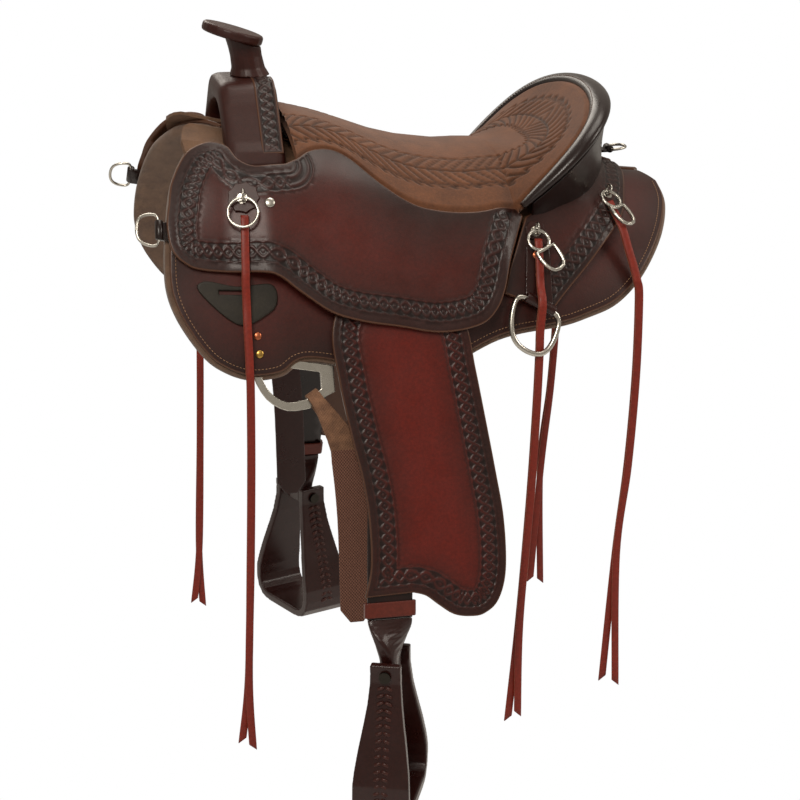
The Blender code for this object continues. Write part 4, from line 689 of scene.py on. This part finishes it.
SEAT_TURNS, SEAT_ACROSS, SPINE = 96, 111, 68
FEATHER_AT, FEATHER_HALF, FEATHER_WAVE = 0.62, 0.030, 0.003
BARB_PITCH, STITCH_HALF = 0.0150, 0.0016
SEAT_RISE, STITCH_SINK, PUFF, TUCK, SEAT_THICK = 0.0008, 0.0026, 0.0010, 0.004, 0.011
SIDE_HOLLOW, RIM_HOLLOW = 2.2, 2.3
SEAT_LAP = 0.001
WELD = 1e-5
near_spans = [(crest(x), body.place(x, s - SEAT_LAP, jockey_top)[0], SIDE_HOLLOW)
              for x, s in smooth_path(SEAT_EDGE, 12)]
rim_spans = [(crest(0.107), np.array(rim_point(k / SEAT_TURNS - 1)), RIM_HOLLOW)
             for k in range(2 * SEAT_TURNS + 1)]
off_spans = [(ridge, rim * (1, -1, 1), power) for ridge, rim, power in reversed(near_spans)]
ridge, rim, power = (np.array(part) for part in zip(*near_spans, *rim_spans, *off_spans))
share = np.linspace(0, 1, SEAT_ACROSS)[None, :]
seat = ridge[:, None, :] * (1 - share[..., None]) + rim[:, None, :] * share[..., None]
seat[..., 2] = ridge[:, 2:] + (rim[:, 2:] - ridge[:, 2:]) * share**power[:, None]
run = run_along(seat[:, SPINE])
run -= run[-1] / 2
reach = np.abs(np.linalg.norm(rim - ridge, axis=1)[:, None] * (share - FEATHER_AT))
barb = np.abs(run[:, None]) + 0.9 * reach**1.15 * 1.6
crossing = np.abs(np.mod(barb / BARB_PITCH + 0.5, 1) - 0.5) * BARB_PITCH * 0.72
half = FEATHER_HALF + FEATHER_WAVE * np.cos(barb / BARB_PITCH * math.tau)
in_feather = 1 - ease(0.96, 1.04, reach / half)
to_stitch = np.minimum(reach, np.where(reach < half, crossing, 1.0))
sunk = np.exp(-((np.minimum(to_stitch, np.abs(reach - half)) / STITCH_HALF) ** 2))
roof = 1 - ease(0.965, 1.0, share) * np.ones_like(reach)
lift = (SEAT_RISE - STITCH_SINK * sunk + PUFF * in_feather) * roof - TUCK * (1 - roof)
normal = np.cross(np.gradient(seat, axis=1), np.gradient(seat, axis=0))
normal /= np.maximum(np.linalg.norm(normal, axis=2, keepdims=True), 1e-9)
normal *= np.where(normal[..., 2:] < 0, -1, 1)
upper = seat + normal * lift[..., None]
lower = seat - np.array((0, 0, SEAT_THICK))
count, wide = seat.shape[:2]
shift = count * wide
faces = []
for r in range(count - 1):
    for k in range(wide - 1):
        a = r * wide + k
        faces.append((a, a + 1, a + wide + 1, a + wide))
        faces.append((shift + a, shift + a + wide, shift + a + wide + 1, shift + a + 1))
    a = r * wide + wide - 1
    faces.append((a, shift + a, shift + a + wide, a + wide))
# press carries how deep each stitch line sinks, and darkens the suede there as painted shade.
made = add_object("quilted_seat", np.vstack([upper.reshape(-1, 3), lower.reshape(-1, 3)]), faces, suede,
                  press=np.concatenate([(sunk * roof).ravel(), np.zeros(shift)]))
piece(turn_outward(made, WELD), "saddle", "suede", "seat_pad")

# The cantle's binding and back: smooth dark leather, drum dyed and drawn tight over the board.
# It has the deepest gloss of the leathers. Brown waxed stitches hold the binding along the seat.
dark_leather = leather("smooth dark leather", "#170907", "#300f0b", rough=0.30, coat=0.2)
thread = cloth("waxed brown thread", "#3c2418", "#5b3a28", 1 / 300, rough=0.6, sheen=0.0)
ROLL_WIDE, ROLL_HIGH = 0.013, 0.0078
CANTLE_SEAM_IN, CANTLE_SEAM_UP = 0.009, 0.0058
BACK_TOP_OUT, BACK_TOP_DOWN, BACK_PANEL_THICK, BACK_HOLLOW = 0.0065, 0.0075, 0.0035, 0.002
FOOT_SINK = 0.004


def roll_frame(w):
    """The binding's middle at share w of the rim, with its directions and its size."""
    away = rim_outward(w)
    ahead = (rim_point(min(w + 0.02, 1.0)) - rim_point(max(w - 0.02, -1.0))).normalized()
    across = (away - ahead * away.dot(ahead)).normalized()
    upward = across.cross(ahead)
    if upward.z < 0:
        upward.negate()
    size = 1 - 0.5 * abs(w) ** 4
    return rim_point(w) + across * (ROLL_WIDE * size + GAP) - upward * 0.002, across, upward, size


def skin(name, rings, finish):
    """A closed skin through rings of as many points each, flat at both ends."""
    count = len(rings[0])
    faces = []
    for r in range(len(rings) - 1):
        for k in range(count):
            j = (k + 1) % count
            faces.append((r * count + k, r * count + j, (r + 1) * count + j, (r + 1) * count + k))
    faces.append(list(range(count)))
    faces.append([(len(rings) - 1) * count + k for k in range(count)])
    return turn_outward(add_object(name, [p for ring in rings for p in ring], faces, finish))


def around(count):
    """Angles at even steps round a circle."""
    return [math.tau * k / count for k in range(count)]


roll, back_rings, seam_line, seam_out = [], [], [], []
base = smooth_path(CANTLE_BASE, 6)
for k in range(161):
    w = k / 80 - 1
    spot, across, upward, size = roll_frame(w)
    roll.append([spot + across * ROLL_WIDE * size * math.cos(a) + upward * ROLL_HIGH * size * math.sin(a)
                 for a in around(28)])
    seam_line.append(spot - across * CANTLE_SEAM_IN * size + upward * CANTLE_SEAM_UP * size)
    seam_out.append(upward - across * 0.6)
    if abs(w) > 0.95:
        continue
    away = rim_outward(w)
    top = spot + across * BACK_TOP_OUT * size - upward * (BACK_TOP_DOWN * size + 0.0012)
    at = (1 - abs(w)) * (len(base) - 1)
    i = min(int(at), len(base) - 2)
    u, v = base[i] * (1 - at + i) + base[i + 1] * (at - i)
    foot = Vector(body.place(u, v, back_top, -1 if w < 0 else 1)[0]) - Vector((0, 0, FOOT_SINK))
    ring = [top.lerp(foot, share) - away * BACK_HOLLOW * math.sin(math.pi * share)
            for share in (j / 24 for j in range(25))]
    back_rings.append(ring + [p - away * BACK_PANEL_THICK for p in reversed(ring)])
piece(skin("cantle_binding", roll, dark_leather), "saddle", "dark_leather", "cantle_roll")
piece(skin("cantle_back_leather", back_rings, dark_leather), "saddle", "dark_leather", "cantle_back")
piece(stitches("cantle_seam", seam_line, seam_out, thread), "saddle", "dark_leather")

# Fork and horn: leather wet-formed over the tree, warm brown with a soft gloss.
# The node's own shape is grown into fine even cells and smoothed, as leather rounds what it covers.
horn_leather = leather("wet formed fork leather", "#190a07", "#3a140d", rough=0.42, coat=0.06)
OPEN_FACE = 0.045


def remade(name, source, finish, body_name, slot, voxel=0.0012, rounds=4, puff=0.0, levels=0):
    """A finer copy of a node: grown into even cells and smoothed, or subdivided where levels is set."""
    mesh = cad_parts[source].data.copy()
    mesh.name = name
    mesh.materials.clear()
    mesh.materials.append(finish)
    made = bpy.data.objects.new(name, mesh)
    bpy.context.scene.collection.objects.link(made)
    bm = bmesh.new()
    bm.from_mesh(mesh)
    bmesh.ops.remove_doubles(bm, verts=bm.verts, dist=WELD)
    bmesh.ops.recalc_face_normals(bm, faces=bm.faces)
    if levels:
        bmesh.ops.join_triangles(bm, faces=bm.faces, angle_face_threshold=0.9, angle_shape_threshold=0.9)
    if puff:
        bm.normal_update()
        for vert in bm.verts:
            vert.co += vert.normal * puff
    bm.to_mesh(mesh)
    bm.free()
    if levels:
        made.modifiers.new("round", "SUBSURF").levels = levels
        made.modifiers["round"].render_levels = levels
    else:
        grow = made.modifiers.new("even cells", "REMESH")
        grow.mode = "VOXEL"
        grow.voxel_size = voxel
        relax = made.modifiers.new("worn smooth", "SMOOTH")
        relax.iterations = rounds
        relax.factor = 0.5
    bpy.context.view_layer.update()
    solid = bpy.data.meshes.new_from_object(made.evaluated_get(bpy.context.evaluated_depsgraph_get()))
    made.modifiers.clear()
    made.data = solid
    solid.polygons.foreach_set("use_smooth", [True] * len(solid.polygons))
    open_face = np.full(len(solid.vertices), OPEN_FACE, np.float32)
    solid.attributes.new("edge", "FLOAT", "POINT").data.foreach_set("value", open_face)
    return piece(made, body_name, slot, source)


remade("fork_leather", "fork_cover", horn_leather, "saddle", "stamped_leather", voxel=0.0013, rounds=22)
remade("horn_neck_leather", "horn_wrap", horn_leather, "saddle", "dark_leather", voxel=0.0010, rounds=6)
remade("horn_cap_leather", "horn_cap", horn_leather, "saddle", "dark_leather", voxel=0.0010, rounds=5)

# A stamped strip runs over the fork on each side, struck like the jockeys' border.
FORK_TOP, FORK_STEP = 0.1245, 0.004
STRIP_FRONT, STRIP_MIDDLE, STRIP_BACK = -0.1895, -0.1768, -0.1640
STRIP_IN, STRIP_OUT = 0.020, 0.144
FORK_SIDE = np.array(((0.0, 0.0), (0.030, 0.0), (0.045, -0.003), (0.057, -0.013), (0.075, -0.034),
                      (0.100, -0.063), (0.119, -0.085)))
fork_side = even(smooth_path(FORK_SIDE, 8), FORK_STEP, False)
fork_columns = np.linspace(-0.235, -0.155, 9)
fork_grid = np.array([[(x, -y, z + FORK_TOP) for y, z in fork_side] for x in fork_columns])
fork_face = Lattice(fork_columns, np.arange(len(fork_side)) * FORK_STEP, fork_grid)
strip = np.array(((STRIP_FRONT, STRIP_IN), (STRIP_BACK, STRIP_IN),
                  (STRIP_BACK, STRIP_OUT), (STRIP_FRONT, STRIP_OUT)))
for label, side in SIDES.items():
    piece(panel(f"fork_tooling_{label}", [strip], fork_face, -0.001, 0.0016, side, skirting,
                border=np.array(((STRIP_MIDDLE, 0.0), (STRIP_MIDDLE, 0.160))), spacing=0.004, soft=0.0012),
          "saddle", "stamped_leather")

# Fenders: tooled like the jockeys, hanging in one curved fall behind the rider's leg.
# Each is sewn to its strap, and the hobble strap of red brown harness leather closes round the doubled end.
# The fenders' leather is the skirts', redder in the open, with a painted highlight on its rounded bevel. The
# hobble straps' is an even red brown.
fender_leather = leather("stamped fender leather", "#260d08", "#591309", rough=0.42, glow_far=0.060, rim=0.6)
hobble_leather = leather("red brown harness leather", "#38150e", "#562016", rough=0.42, glow_far=0.004,
                         coat=0.1)
HANG_X, HANG_TURN, HANG_LEAN = -0.045, 0.300, math.radians(16)
OVER_BAR_LIFT, OVER_BAR_SWELL = 0.0097, 0.015
FENDER_THICK, FENDER_BORDER_IN = 0.0048, 0.0205
STRAP_TOP, STRAP_END, STRAP_HALF = 0.162, 0.628, 0.027


def hang_point(s):
    """The fender's Y and Z at s down from the ridge: over the bar, and then straight down, leaning out."""
    reach = min(s, HANG_TURN)
    swell = OVER_BAR_SWELL * tree_share(HANG_X, reach) * ease(0.020, 0.150, reach)
    over_bar = GAP + UNDER_LIFT + swell + OVER_BAR_LIFT
    under = jockey_under(HANG_X, reach) / 2
    spot = body.place(HANG_X, reach, over_bar + (under - over_bar) * ease(0.170, 0.260, reach))[0]
    rest = s - reach
    return spot[1] - rest * math.sin(HANG_LEAN), spot[2] - rest * math.cos(HANG_LEAN)


falls = np.arange(0.09, 0.71, 0.005)
fall_spots = [hang_point(s) for s in falls]
hang_columns = np.linspace(-0.2, 0.2, 9)
hang = Lattice(hang_columns, falls, np.array([[(x, *spot) for spot in fall_spots] for x in hang_columns]))
FENDER_EDGE = (
    (-0.100, 0.235), (-0.128, 0.285), (-0.124, 0.345), (-0.113, 0.412), (-0.103, 0.462),
    (-0.098, 0.510), (-0.099, 0.565), (-0.108, 0.601, True), (-0.050, 0.599, True),
    (-0.035, 0.604), (-0.020, 0.616), (-0.003, 0.628), (0.016, 0.632), (0.034, 0.630),
    (0.052, 0.615), (0.063, 0.580), (0.064, 0.520), (0.057, 0.460), (0.047, 0.388),
    (0.040, 0.340), (0.031, 0.285), (0.005, 0.235), (-0.045, 0.222),
)
fender_loop = outline(FENDER_EDGE)
fender_border = even(fender_loop, 0.003)
fender_border = np.vstack([fender_border, fender_border[:1]])
strap_loop = np.array([(-0.050 - 0.029 * (s - STRAP_TOP) / 0.466 + way * STRAP_HALF, s)
                       for s, way in ((STRAP_TOP, -1), (STRAP_TOP, 1), (STRAP_END, 1), (STRAP_END, -1))])
for label, side in SIDES.items():
    piece(panel(f"fender_leather_{label}", [fender_loop], hang, 0.0, FENDER_THICK, side, fender_leather,
                border=fender_border, inset=FENDER_BORDER_IN, spacing=0.0036),
          f"fender_{label}", "stamped_leather", f"fender_{label}")
    piece(panel(f"fender_strap_leather_{label}", [strap_loop], hang, -0.0045, -0.0001, side, dark_leather,
                spacing=0.008), f"fender_{label}", "dark_leather")
    for name, source, finish, body_name, slot, voxel, rounds in (
        ("hobble_leather", "hobble_strap", hobble_leather, "fender", "latigo_leather", 0.0008, 4),
        ("stirrup_strap", "stirrup_leather", dark_leather, "stirrup_leather", "dark_leather", 0.0009, 4),
        ("stirrup_covered", "stirrup", dark_leather, "stirrup", "dark_leather", 0.0012, 6),
    ):
        remade(f"{name}_{label}", f"{source}_{label}", finish, f"{body_name}_{label}", slot, voxel, rounds)
    remade(f"rear_strap_{label}", f"rear_rig_strap_{label}", dark_leather, "saddle", "dark_leather",
           0.0008, 3)


# Stirrups: the leather cover is laced down the middle of each leaf with a flat thong.
# Each lace lies in two short spans beside the middle line and dips into its holes.
def laces(name, spans, radius, finish):
    """Flat thongs, each from a start to an end on a face that looks outwards."""
    shape = ((0, 0.5, -0.8), (0.15, 1, 0.2), (0.5, 1.1, 0.5), (0.85, 1, 0.2), (1, 0.5, -0.8))
    verts = []
    for start, end, out in spans:
        aside = out.cross((end - start).normalized())
        for share, size, lift in shape:
            for a in around(8):
                verts.append(start.lerp(end, share) + aside * math.cos(a) * radius * size
                             + out * (math.sin(a) * 0.55 + lift) * radius * size)
    return grains(name, verts, 8, finish)


BOLT_AT = (-0.079, 0.318391, -0.526662)
STIRRUP_TURN = math.radians(22)
LEAF_DOWN = (0.010, 0.0612, 0.1127, 0.1417, 0.158)
LEAF_OUT = (0.026, 0.0392, 0.0550, 0.059, 0.0560)
LEAF_THICK = 0.0112
LACE_TOP, LACE_PITCH, LACE_HALF, LACE_LONG, LACE_APART = 0.014, 0.0086, 0.0021, 0.0095, 0.0006
for label, side in SIDES.items():
    bolt = Vector((BOLT_AT[0], side * BOLT_AT[1], BOLT_AT[2]))
    line = Vector((math.sin(STIRRUP_TURN), -side * math.cos(STIRRUP_TURN), 0))
    fore = line.cross(Vector((0, 0, 1))).normalized()
    tilt = Vector((0, 0, 0.0022))
    spans = []
    for sign in (-1, 1):
        out = (line * sign + Vector((0, 0, 0.28))).normalized()
        for k in range(16):
            down = LACE_TOP + LACE_PITCH * k
            wide = float(np.interp(down, LEAF_DOWN, LEAF_OUT))
            spot = bolt + line * sign * (wide + LEAF_THICK) - Vector((0, 0, down))
            spans.append((spot - fore * LACE_LONG - tilt, spot - fore * LACE_APART + tilt, out))
            spans.append((spot + fore * LACE_APART + tilt, spot + fore * LACE_LONG - tilt, out))
    piece(laces(f"stirrup_lacing_{label}", spans, LACE_HALF, hobble_leather), f"stirrup_{label}",
          "dark_leather")


# Rivets of hammered copper and cast brass through the rear strap and the skirt, and the jockey's screw.
# Metals keep the marks of hands, so their gloss varies a little from place to place, 8 mm apart.
METAL_WEAR = 1 / 120
OVER_STRAP = 0.0055


def metal(name, shade, rough, scratch=0.06):
    """Metal with faint hand wear, in patches as wide as METAL_WEAR."""
    made, tree, shader, where = material(name)
    wear = node(tree, "TexNoise", {"Vector": where, "Scale": 1 / METAL_WEAR, "Detail": 4, "Roughness": 0.55})
    wear = node(tree, "ValToRGB", {0: wear}, ((0.3, grey(rough)), (0.7, grey(rough + scratch))))
    feed(tree, shader, {"Base Color": colour(shade), "Metallic": 1.0, "Roughness": wear})
    return made


# Tumbled stainless steel, which shines softly, hammered copper, and brass as it left the mould.
steel = metal("tumbled stainless steel", "#b9b6ae", 0.24)
copper = metal("hammered copper", "#b5694a", 0.30)
brass = metal("cast brass", "#b8934e", 0.28)


def dome(name, u, v, depth, side, radius, finish):
    """A domed rivet or screw head on the leather over the body."""
    spot, out, rear, down = body.frame(u, v, depth, side)
    rings = [[spot + (rear * math.cos(a) + down * math.sin(a)) * radius * share + out * high
              for a in around(20)]
             for share, high in ((1.0, -0.001), (1.0, 0.0004), (0.85, 0.0011), (0.5, 0.0016), (0.15, 0.0018))]
    return piece(skin(name, rings, finish), "saddle", "stainless")


def over_strap(u, v):
    return back_top(u, v) + OVER_STRAP


def over_jockey(u, v):
    return jockey_top(u, v) + GAP


for label, side in SIDES.items():
    for name, u, v, depth, radius, finish in (
        ("rear_rivet_a", 0.1245, 0.2010, over_strap, 0.0045, copper),
        ("rear_rivet_b", 0.1265, 0.2230, over_strap, 0.0045, copper),
        ("skirt_rivet_a", -0.2150, 0.3190, GAP, 0.0048, copper),
        ("skirt_rivet_b", -0.2140, 0.3400, GAP, 0.0048, brass),
        ("jockey_screw", -0.1950, 0.1730, over_jockey, 0.0060, steel),
    ):
        dome(f"{name}_{label}", u, v, depth, side, radius, finish)


# Tabs of dark leather that hold the breast dees on the skirts and the crupper dee on the cantle.
# Each ends in a rolled edge that closes round the dee's bar.
def sleeve(name, start, end, radius, finish):
    """The rolled edge of a tab, closed round a dee's bar."""
    ahead = (end - start).normalized()
    aside = ahead.orthogonal().normalized()
    other = ahead.cross(aside)
    rings = [[start.lerp(end, share) + (aside * math.cos(a) + other * math.sin(a)) * radius * size
              for a in around(24)]
             for share, size in ((0, 0.85), (0.03, 1), (0.97, 1), (1, 0.85))]
    return piece(skin(name, rings, finish), "saddle", "dark_leather")


SLEEVE_HALF = 0.0047
BREAST_TAB = np.array(((-0.3199, 0.1976), (-0.3211, 0.2204), (-0.2960, 0.2204), (-0.2960, 0.1976)))
CRUPPER_TAB = ((-0.009, 0.0137), (-0.0085, 0.0175), (0.0085, 0.0175), (0.009, 0.0137))
CRUPPER_END, CRUPPER_HIGH = 0.270, 0.0175
for label, side in SIDES.items():
    piece(panel(f"breast_tab_{label}", [BREAST_TAB], body, -0.0035, 0.0015, side, dark_leather, spacing=0.003,
                soft=0.001), "saddle", "dark_leather")
    start, end = (Vector(body.place(u, v, 0.002, side)[0]) for u, v in BREAST_TAB[:2])
    sleeve(f"breast_sleeve_{label}", start, end, SLEEVE_HALF, dark_leather)
tab_rings = [[Vector((x, y, z)) for y, z in CRUPPER_TAB] for x in (0.244, 0.250, 0.260, CRUPPER_END)]
piece(skin("crupper_tab", tab_rings, dark_leather), "saddle", "dark_leather")
start, end = (Vector((CRUPPER_END, y, CRUPPER_HIGH)) for y in (-0.009, 0.009))
sleeve("crupper_sleeve", start, end, SLEEVE_HALF, dark_leather)

# Latigo and billet: straps that hang on the rigging plates. The latigo is flat nylon webbing in a basket
# weave, sewn below a tab of tan rough-out leather, and the billet is dark leather.
YARN_ACROSS, YARN_DOWN, YARN_HIGH = 0.0034, 0.0042, 0.0007
TAB_END, TAN_MOTTLE = -0.282, 1 / 90


def webbing(name, yarn_low, yarn_high, tan_low, tan_high):
    """Yarn that catches the light in small squares below TAB_END, and mottled tan leather above it."""
    made, tree, shader, where = material(name)
    parts = node(tree, "SeparateXYZ", {0: where})
    waves = []
    for axis, pitch in (("X", YARN_ACROSS), ("Z", YARN_DOWN)):
        wave = node(tree, "Math", {0: parts.outputs[axis], 1: math.tau / pitch}, operation="MULTIPLY")
        waves.append(node(tree, "Math", {0: wave}, operation="SINE"))
    weave = node(tree, "Math", {0: waves[0], 1: waves[1]}, operation="MULTIPLY")
    weave = node(tree, "Math", {0: weave, 1: 0.5}, operation="MULTIPLY")
    weave = node(tree, "Math", {0: weave, 1: 0.5}, operation="ADD")
    yarn = node(tree, "ValToRGB", {0: weave}, ((0.2, colour(yarn_low)), (0.8, colour(yarn_high))))
    tan = node(tree, "TexNoise", {"Vector": where, "Scale": 1 / TAN_MOTTLE, "Detail": 4, "Roughness": 0.55})
    tan = node(tree, "ValToRGB", {0: tan}, ((0.35, colour(tan_low)), (0.65, colour(tan_high))))
    upper = node(tree, "Math", {0: parts.outputs["Z"], 1: TAB_END}, operation="GREATER_THAN")
    mixed = node(tree, "Mix", {0: upper, 6: yarn, 7: tan}, data_type="RGBA")
    raised = node(tree, "Bump", {"Height": weave, "Distance": YARN_HIGH, "Strength": 0.8})
    feed(tree, shader, {"Base Color": mixed.outputs[2], "Roughness": 0.9, "Normal": raised})
    return made


# Woven nylon, brown red and matt, with its tan leather top.
nylon = webbing("woven brown nylon", "#3f231b", "#77503f", "#5f4230", "#7d5a42")
remade("latigo_strap", "latigo", nylon, "latigo", "nylon_webbing", 0.0008, 3)
remade("billet_strap", "off_billet", dark_leather, "off_billet", "nylon_webbing", 0.0008, 3)

# Steel: rings and dees of bent wire, welded and tumbled. Their rosettes are of scalloped leather, with a
# steel screw and clip in the middle.
ROSETTE_AT = {"front": (-0.224, 0.168), "rear": (0.128, 0.172), "back": (0.228, 0.112)}
EYE_IN, EYE_HALF = 0.0082, 0.0094
for label, side in SIDES.items():
    remade(f"rigging_plate_{label}", f"front_rigging_{label}", steel, "saddle", "stainless", 0.0007, 3)
    for where, puff in (("rear", 0.0006), ("breast", 0.0002)):
        dee = f"{where}_dee_{label}"
        remade(f"{where}_dee_wire_{label}", dee, steel, dee, "stainless", puff=puff, levels=2)
    for where, centre in ROSETTE_AT.items():
        bare_ring = where == "front"
        ring = f"string_ring_{where}_{label}"
        remade(f"ring_{where}_{label}", ring, steel, ring, "stainless", 0.00042, 9,
               puff=0.0002 if bare_ring else 0.0004, levels=2 if bare_ring else 0)
        made = remade(f"rosette_{where}_{label}", f"string_mount_{where}_{label}", steel, "saddle",
                      "stainless", 0.0005, 3)
        here, out, rear, down = body.frame(*centre, 0.0, side)
        made.data.materials.append(horn_leather)
        tip = max((vert.co for vert in made.data.vertices), key=lambda co: (co - here).dot(out))
        eye = tip - out * EYE_IN
        made.data.polygons.foreach_set("material_index", [1 if (face.center - eye).length > EYE_HALF else 0
                                                         for face in made.data.polygons])
remade("crupper_dee_wire", "crupper_dee", steel, "crupper_dee", "stainless", puff=0.0002, levels=2)

# Saddle strings: two flat strands of red latigo leather from each ring, with raw slanted ends.
# Each has its route over the leather as (x, s, lift), its drops below that, and a tip for each strand.
# The leather is oiled and red through and through, with an even, nearly matt face.
latigo_red = leather("red latigo leather", "#742012", "#942c19", rough=0.5, glow_far=0.003, coat=0.05)
# The raw cut edge of the same leather, pale where no dye has reached.
raw_edge = leather("raw cut leather edge", "#96604a", "#a9745a", rough=0.8, coat=0.0)
STRAND_HALF, STRAND_THIN, STRAND_APART, STRAND_SPREAD = 0.0045, 0.0013, 0.0006, 0.0019
STRAND_EDGE = ((-1, -0.6), (-0.85, -1), (0.85, -1), (1, -0.6), (1, 0.6), (0.85, 1), (-0.85, 1), (-1, 0.6))
CUT_SLANT = 0.004
STRINGS = {
    "front": (((-0.2245, 0.1885, 0.0042), (-0.225, 0.215, 0.0042), (-0.226, 0.247, 0.0042),
               (-0.2265, 0.262, 0.0012), (-0.2265, 0.285, -0.0040), (-0.227, 0.309, -0.0048),
               (-0.227, 0.340, -0.0065), (-0.2275, 0.366, -0.0075)),
              ((-0.227, 0.020), (-0.228, 0.110), (-0.231, 0.230), (-0.236, 0.380)),
              ((-0.245, 0.462), (-0.233, 0.470)), jockey_top),
    "rear": (((0.128, 0.1855, 0.0092), (0.127, 0.210, 0.0092), (0.1255, 0.236, 0.0110),
              (0.1240, 0.2500, 0.0172), (0.1235, 0.2600, 0.0172)),
             ((0.123, 0.030), (0.1225, 0.060), (0.120, 0.130), (0.114, 0.245), (0.103, 0.400)),
             ((0.091, 0.530), (0.102, 0.523)), back_top),
    "back": (((0.2285, 0.1255, 0.0042), (0.2335, 0.142, 0.0042), (0.2400, 0.158, 0.0042),
              (0.2455, 0.178, 0.0015), (0.2515, 0.198, -0.0005), (0.2550, 0.214, -0.0015)),
             ((0.259, 0.022), (0.258, 0.120), (0.251, 0.235), (0.239, 0.350)),
             ((0.226, 0.520), (0.242, 0.526)), back_top),
}
for where, (route, drops, tips, base) in STRINGS.items():
    for label, side in SIDES.items():
        for strand, tip in enumerate(tips):
            line = [body.place(x, s, base(x, s) + lift, side)[0] for x, s, lift in smooth_path(route, 5)]
            last = line[-1]
            knots = [last] + [np.array((x, last[1], last[2] - drop)) for x, drop in (*drops, tip)]
            line = np.vstack([line, smooth_path(knots, 10)[1:]])
            sign = 1 if strand else -1
            spread = np.clip(np.arange(len(line)) / 20, 0, 1) * STRAND_SPREAD
            line[:, 1] += side * sign * (spread + STRAND_APART)
            ahead = np.gradient(line, axis=0)
            ahead /= np.linalg.norm(ahead, axis=1, keepdims=True)
            wide_way = np.array((1.0, 0, 0)) - ahead * ahead[:, :1]
            wide_way /= np.linalg.norm(wide_way, axis=1, keepdims=True)
            flat_way = np.cross(ahead, wide_way)
            rings = []
            for n, spot in enumerate(line):
                slant = CUT_SLANT * sign if n == len(line) - 1 else 0.0
                rings.append([Vector(spot + wide_way[n] * a * STRAND_HALF + flat_way[n] * b * STRAND_THIN
                                     + ahead[n] * a * slant) for a, b in STRAND_EDGE])
            made = piece(skin(f"string_{where}_{label}_{strand}", rings, latigo_red), "saddle",
                         "latigo_leather", f"saddle_string_{where}_{label}")
            made.data.materials.append(raw_edge)
            sides = len(made.data.polygons) - 2
            made.data.polygons.foreach_set("material_index", [1 if n >= sides or n % 8 in (3, 7) else 0
                                                             for n in range(sides + 2)])

# Nodes that show as they are: the tree's wood under rawhide, seen from the front and below, the ground
# seat, and the stirrup bolts and horn core of blackened steel. Rawhide is matt and pale brown, and the
# blackened steel dark with a dull shine.
wood = cloth("rawhide covered tree wood", "#4a3526", "#6b4d36", 1 / 30, rough=0.8, sheen=0.0)
blackened = metal("blackened steel", "#33302c", 0.4)
for key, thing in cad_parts.items():
    if not thing.hide_render:
        bare = wood if key.startswith("tree") else dark_leather
        if "bolt" in key or "core" in key:
            bare = blackened
        thing.data.materials.clear()
        thing.data.materials.append(bare)
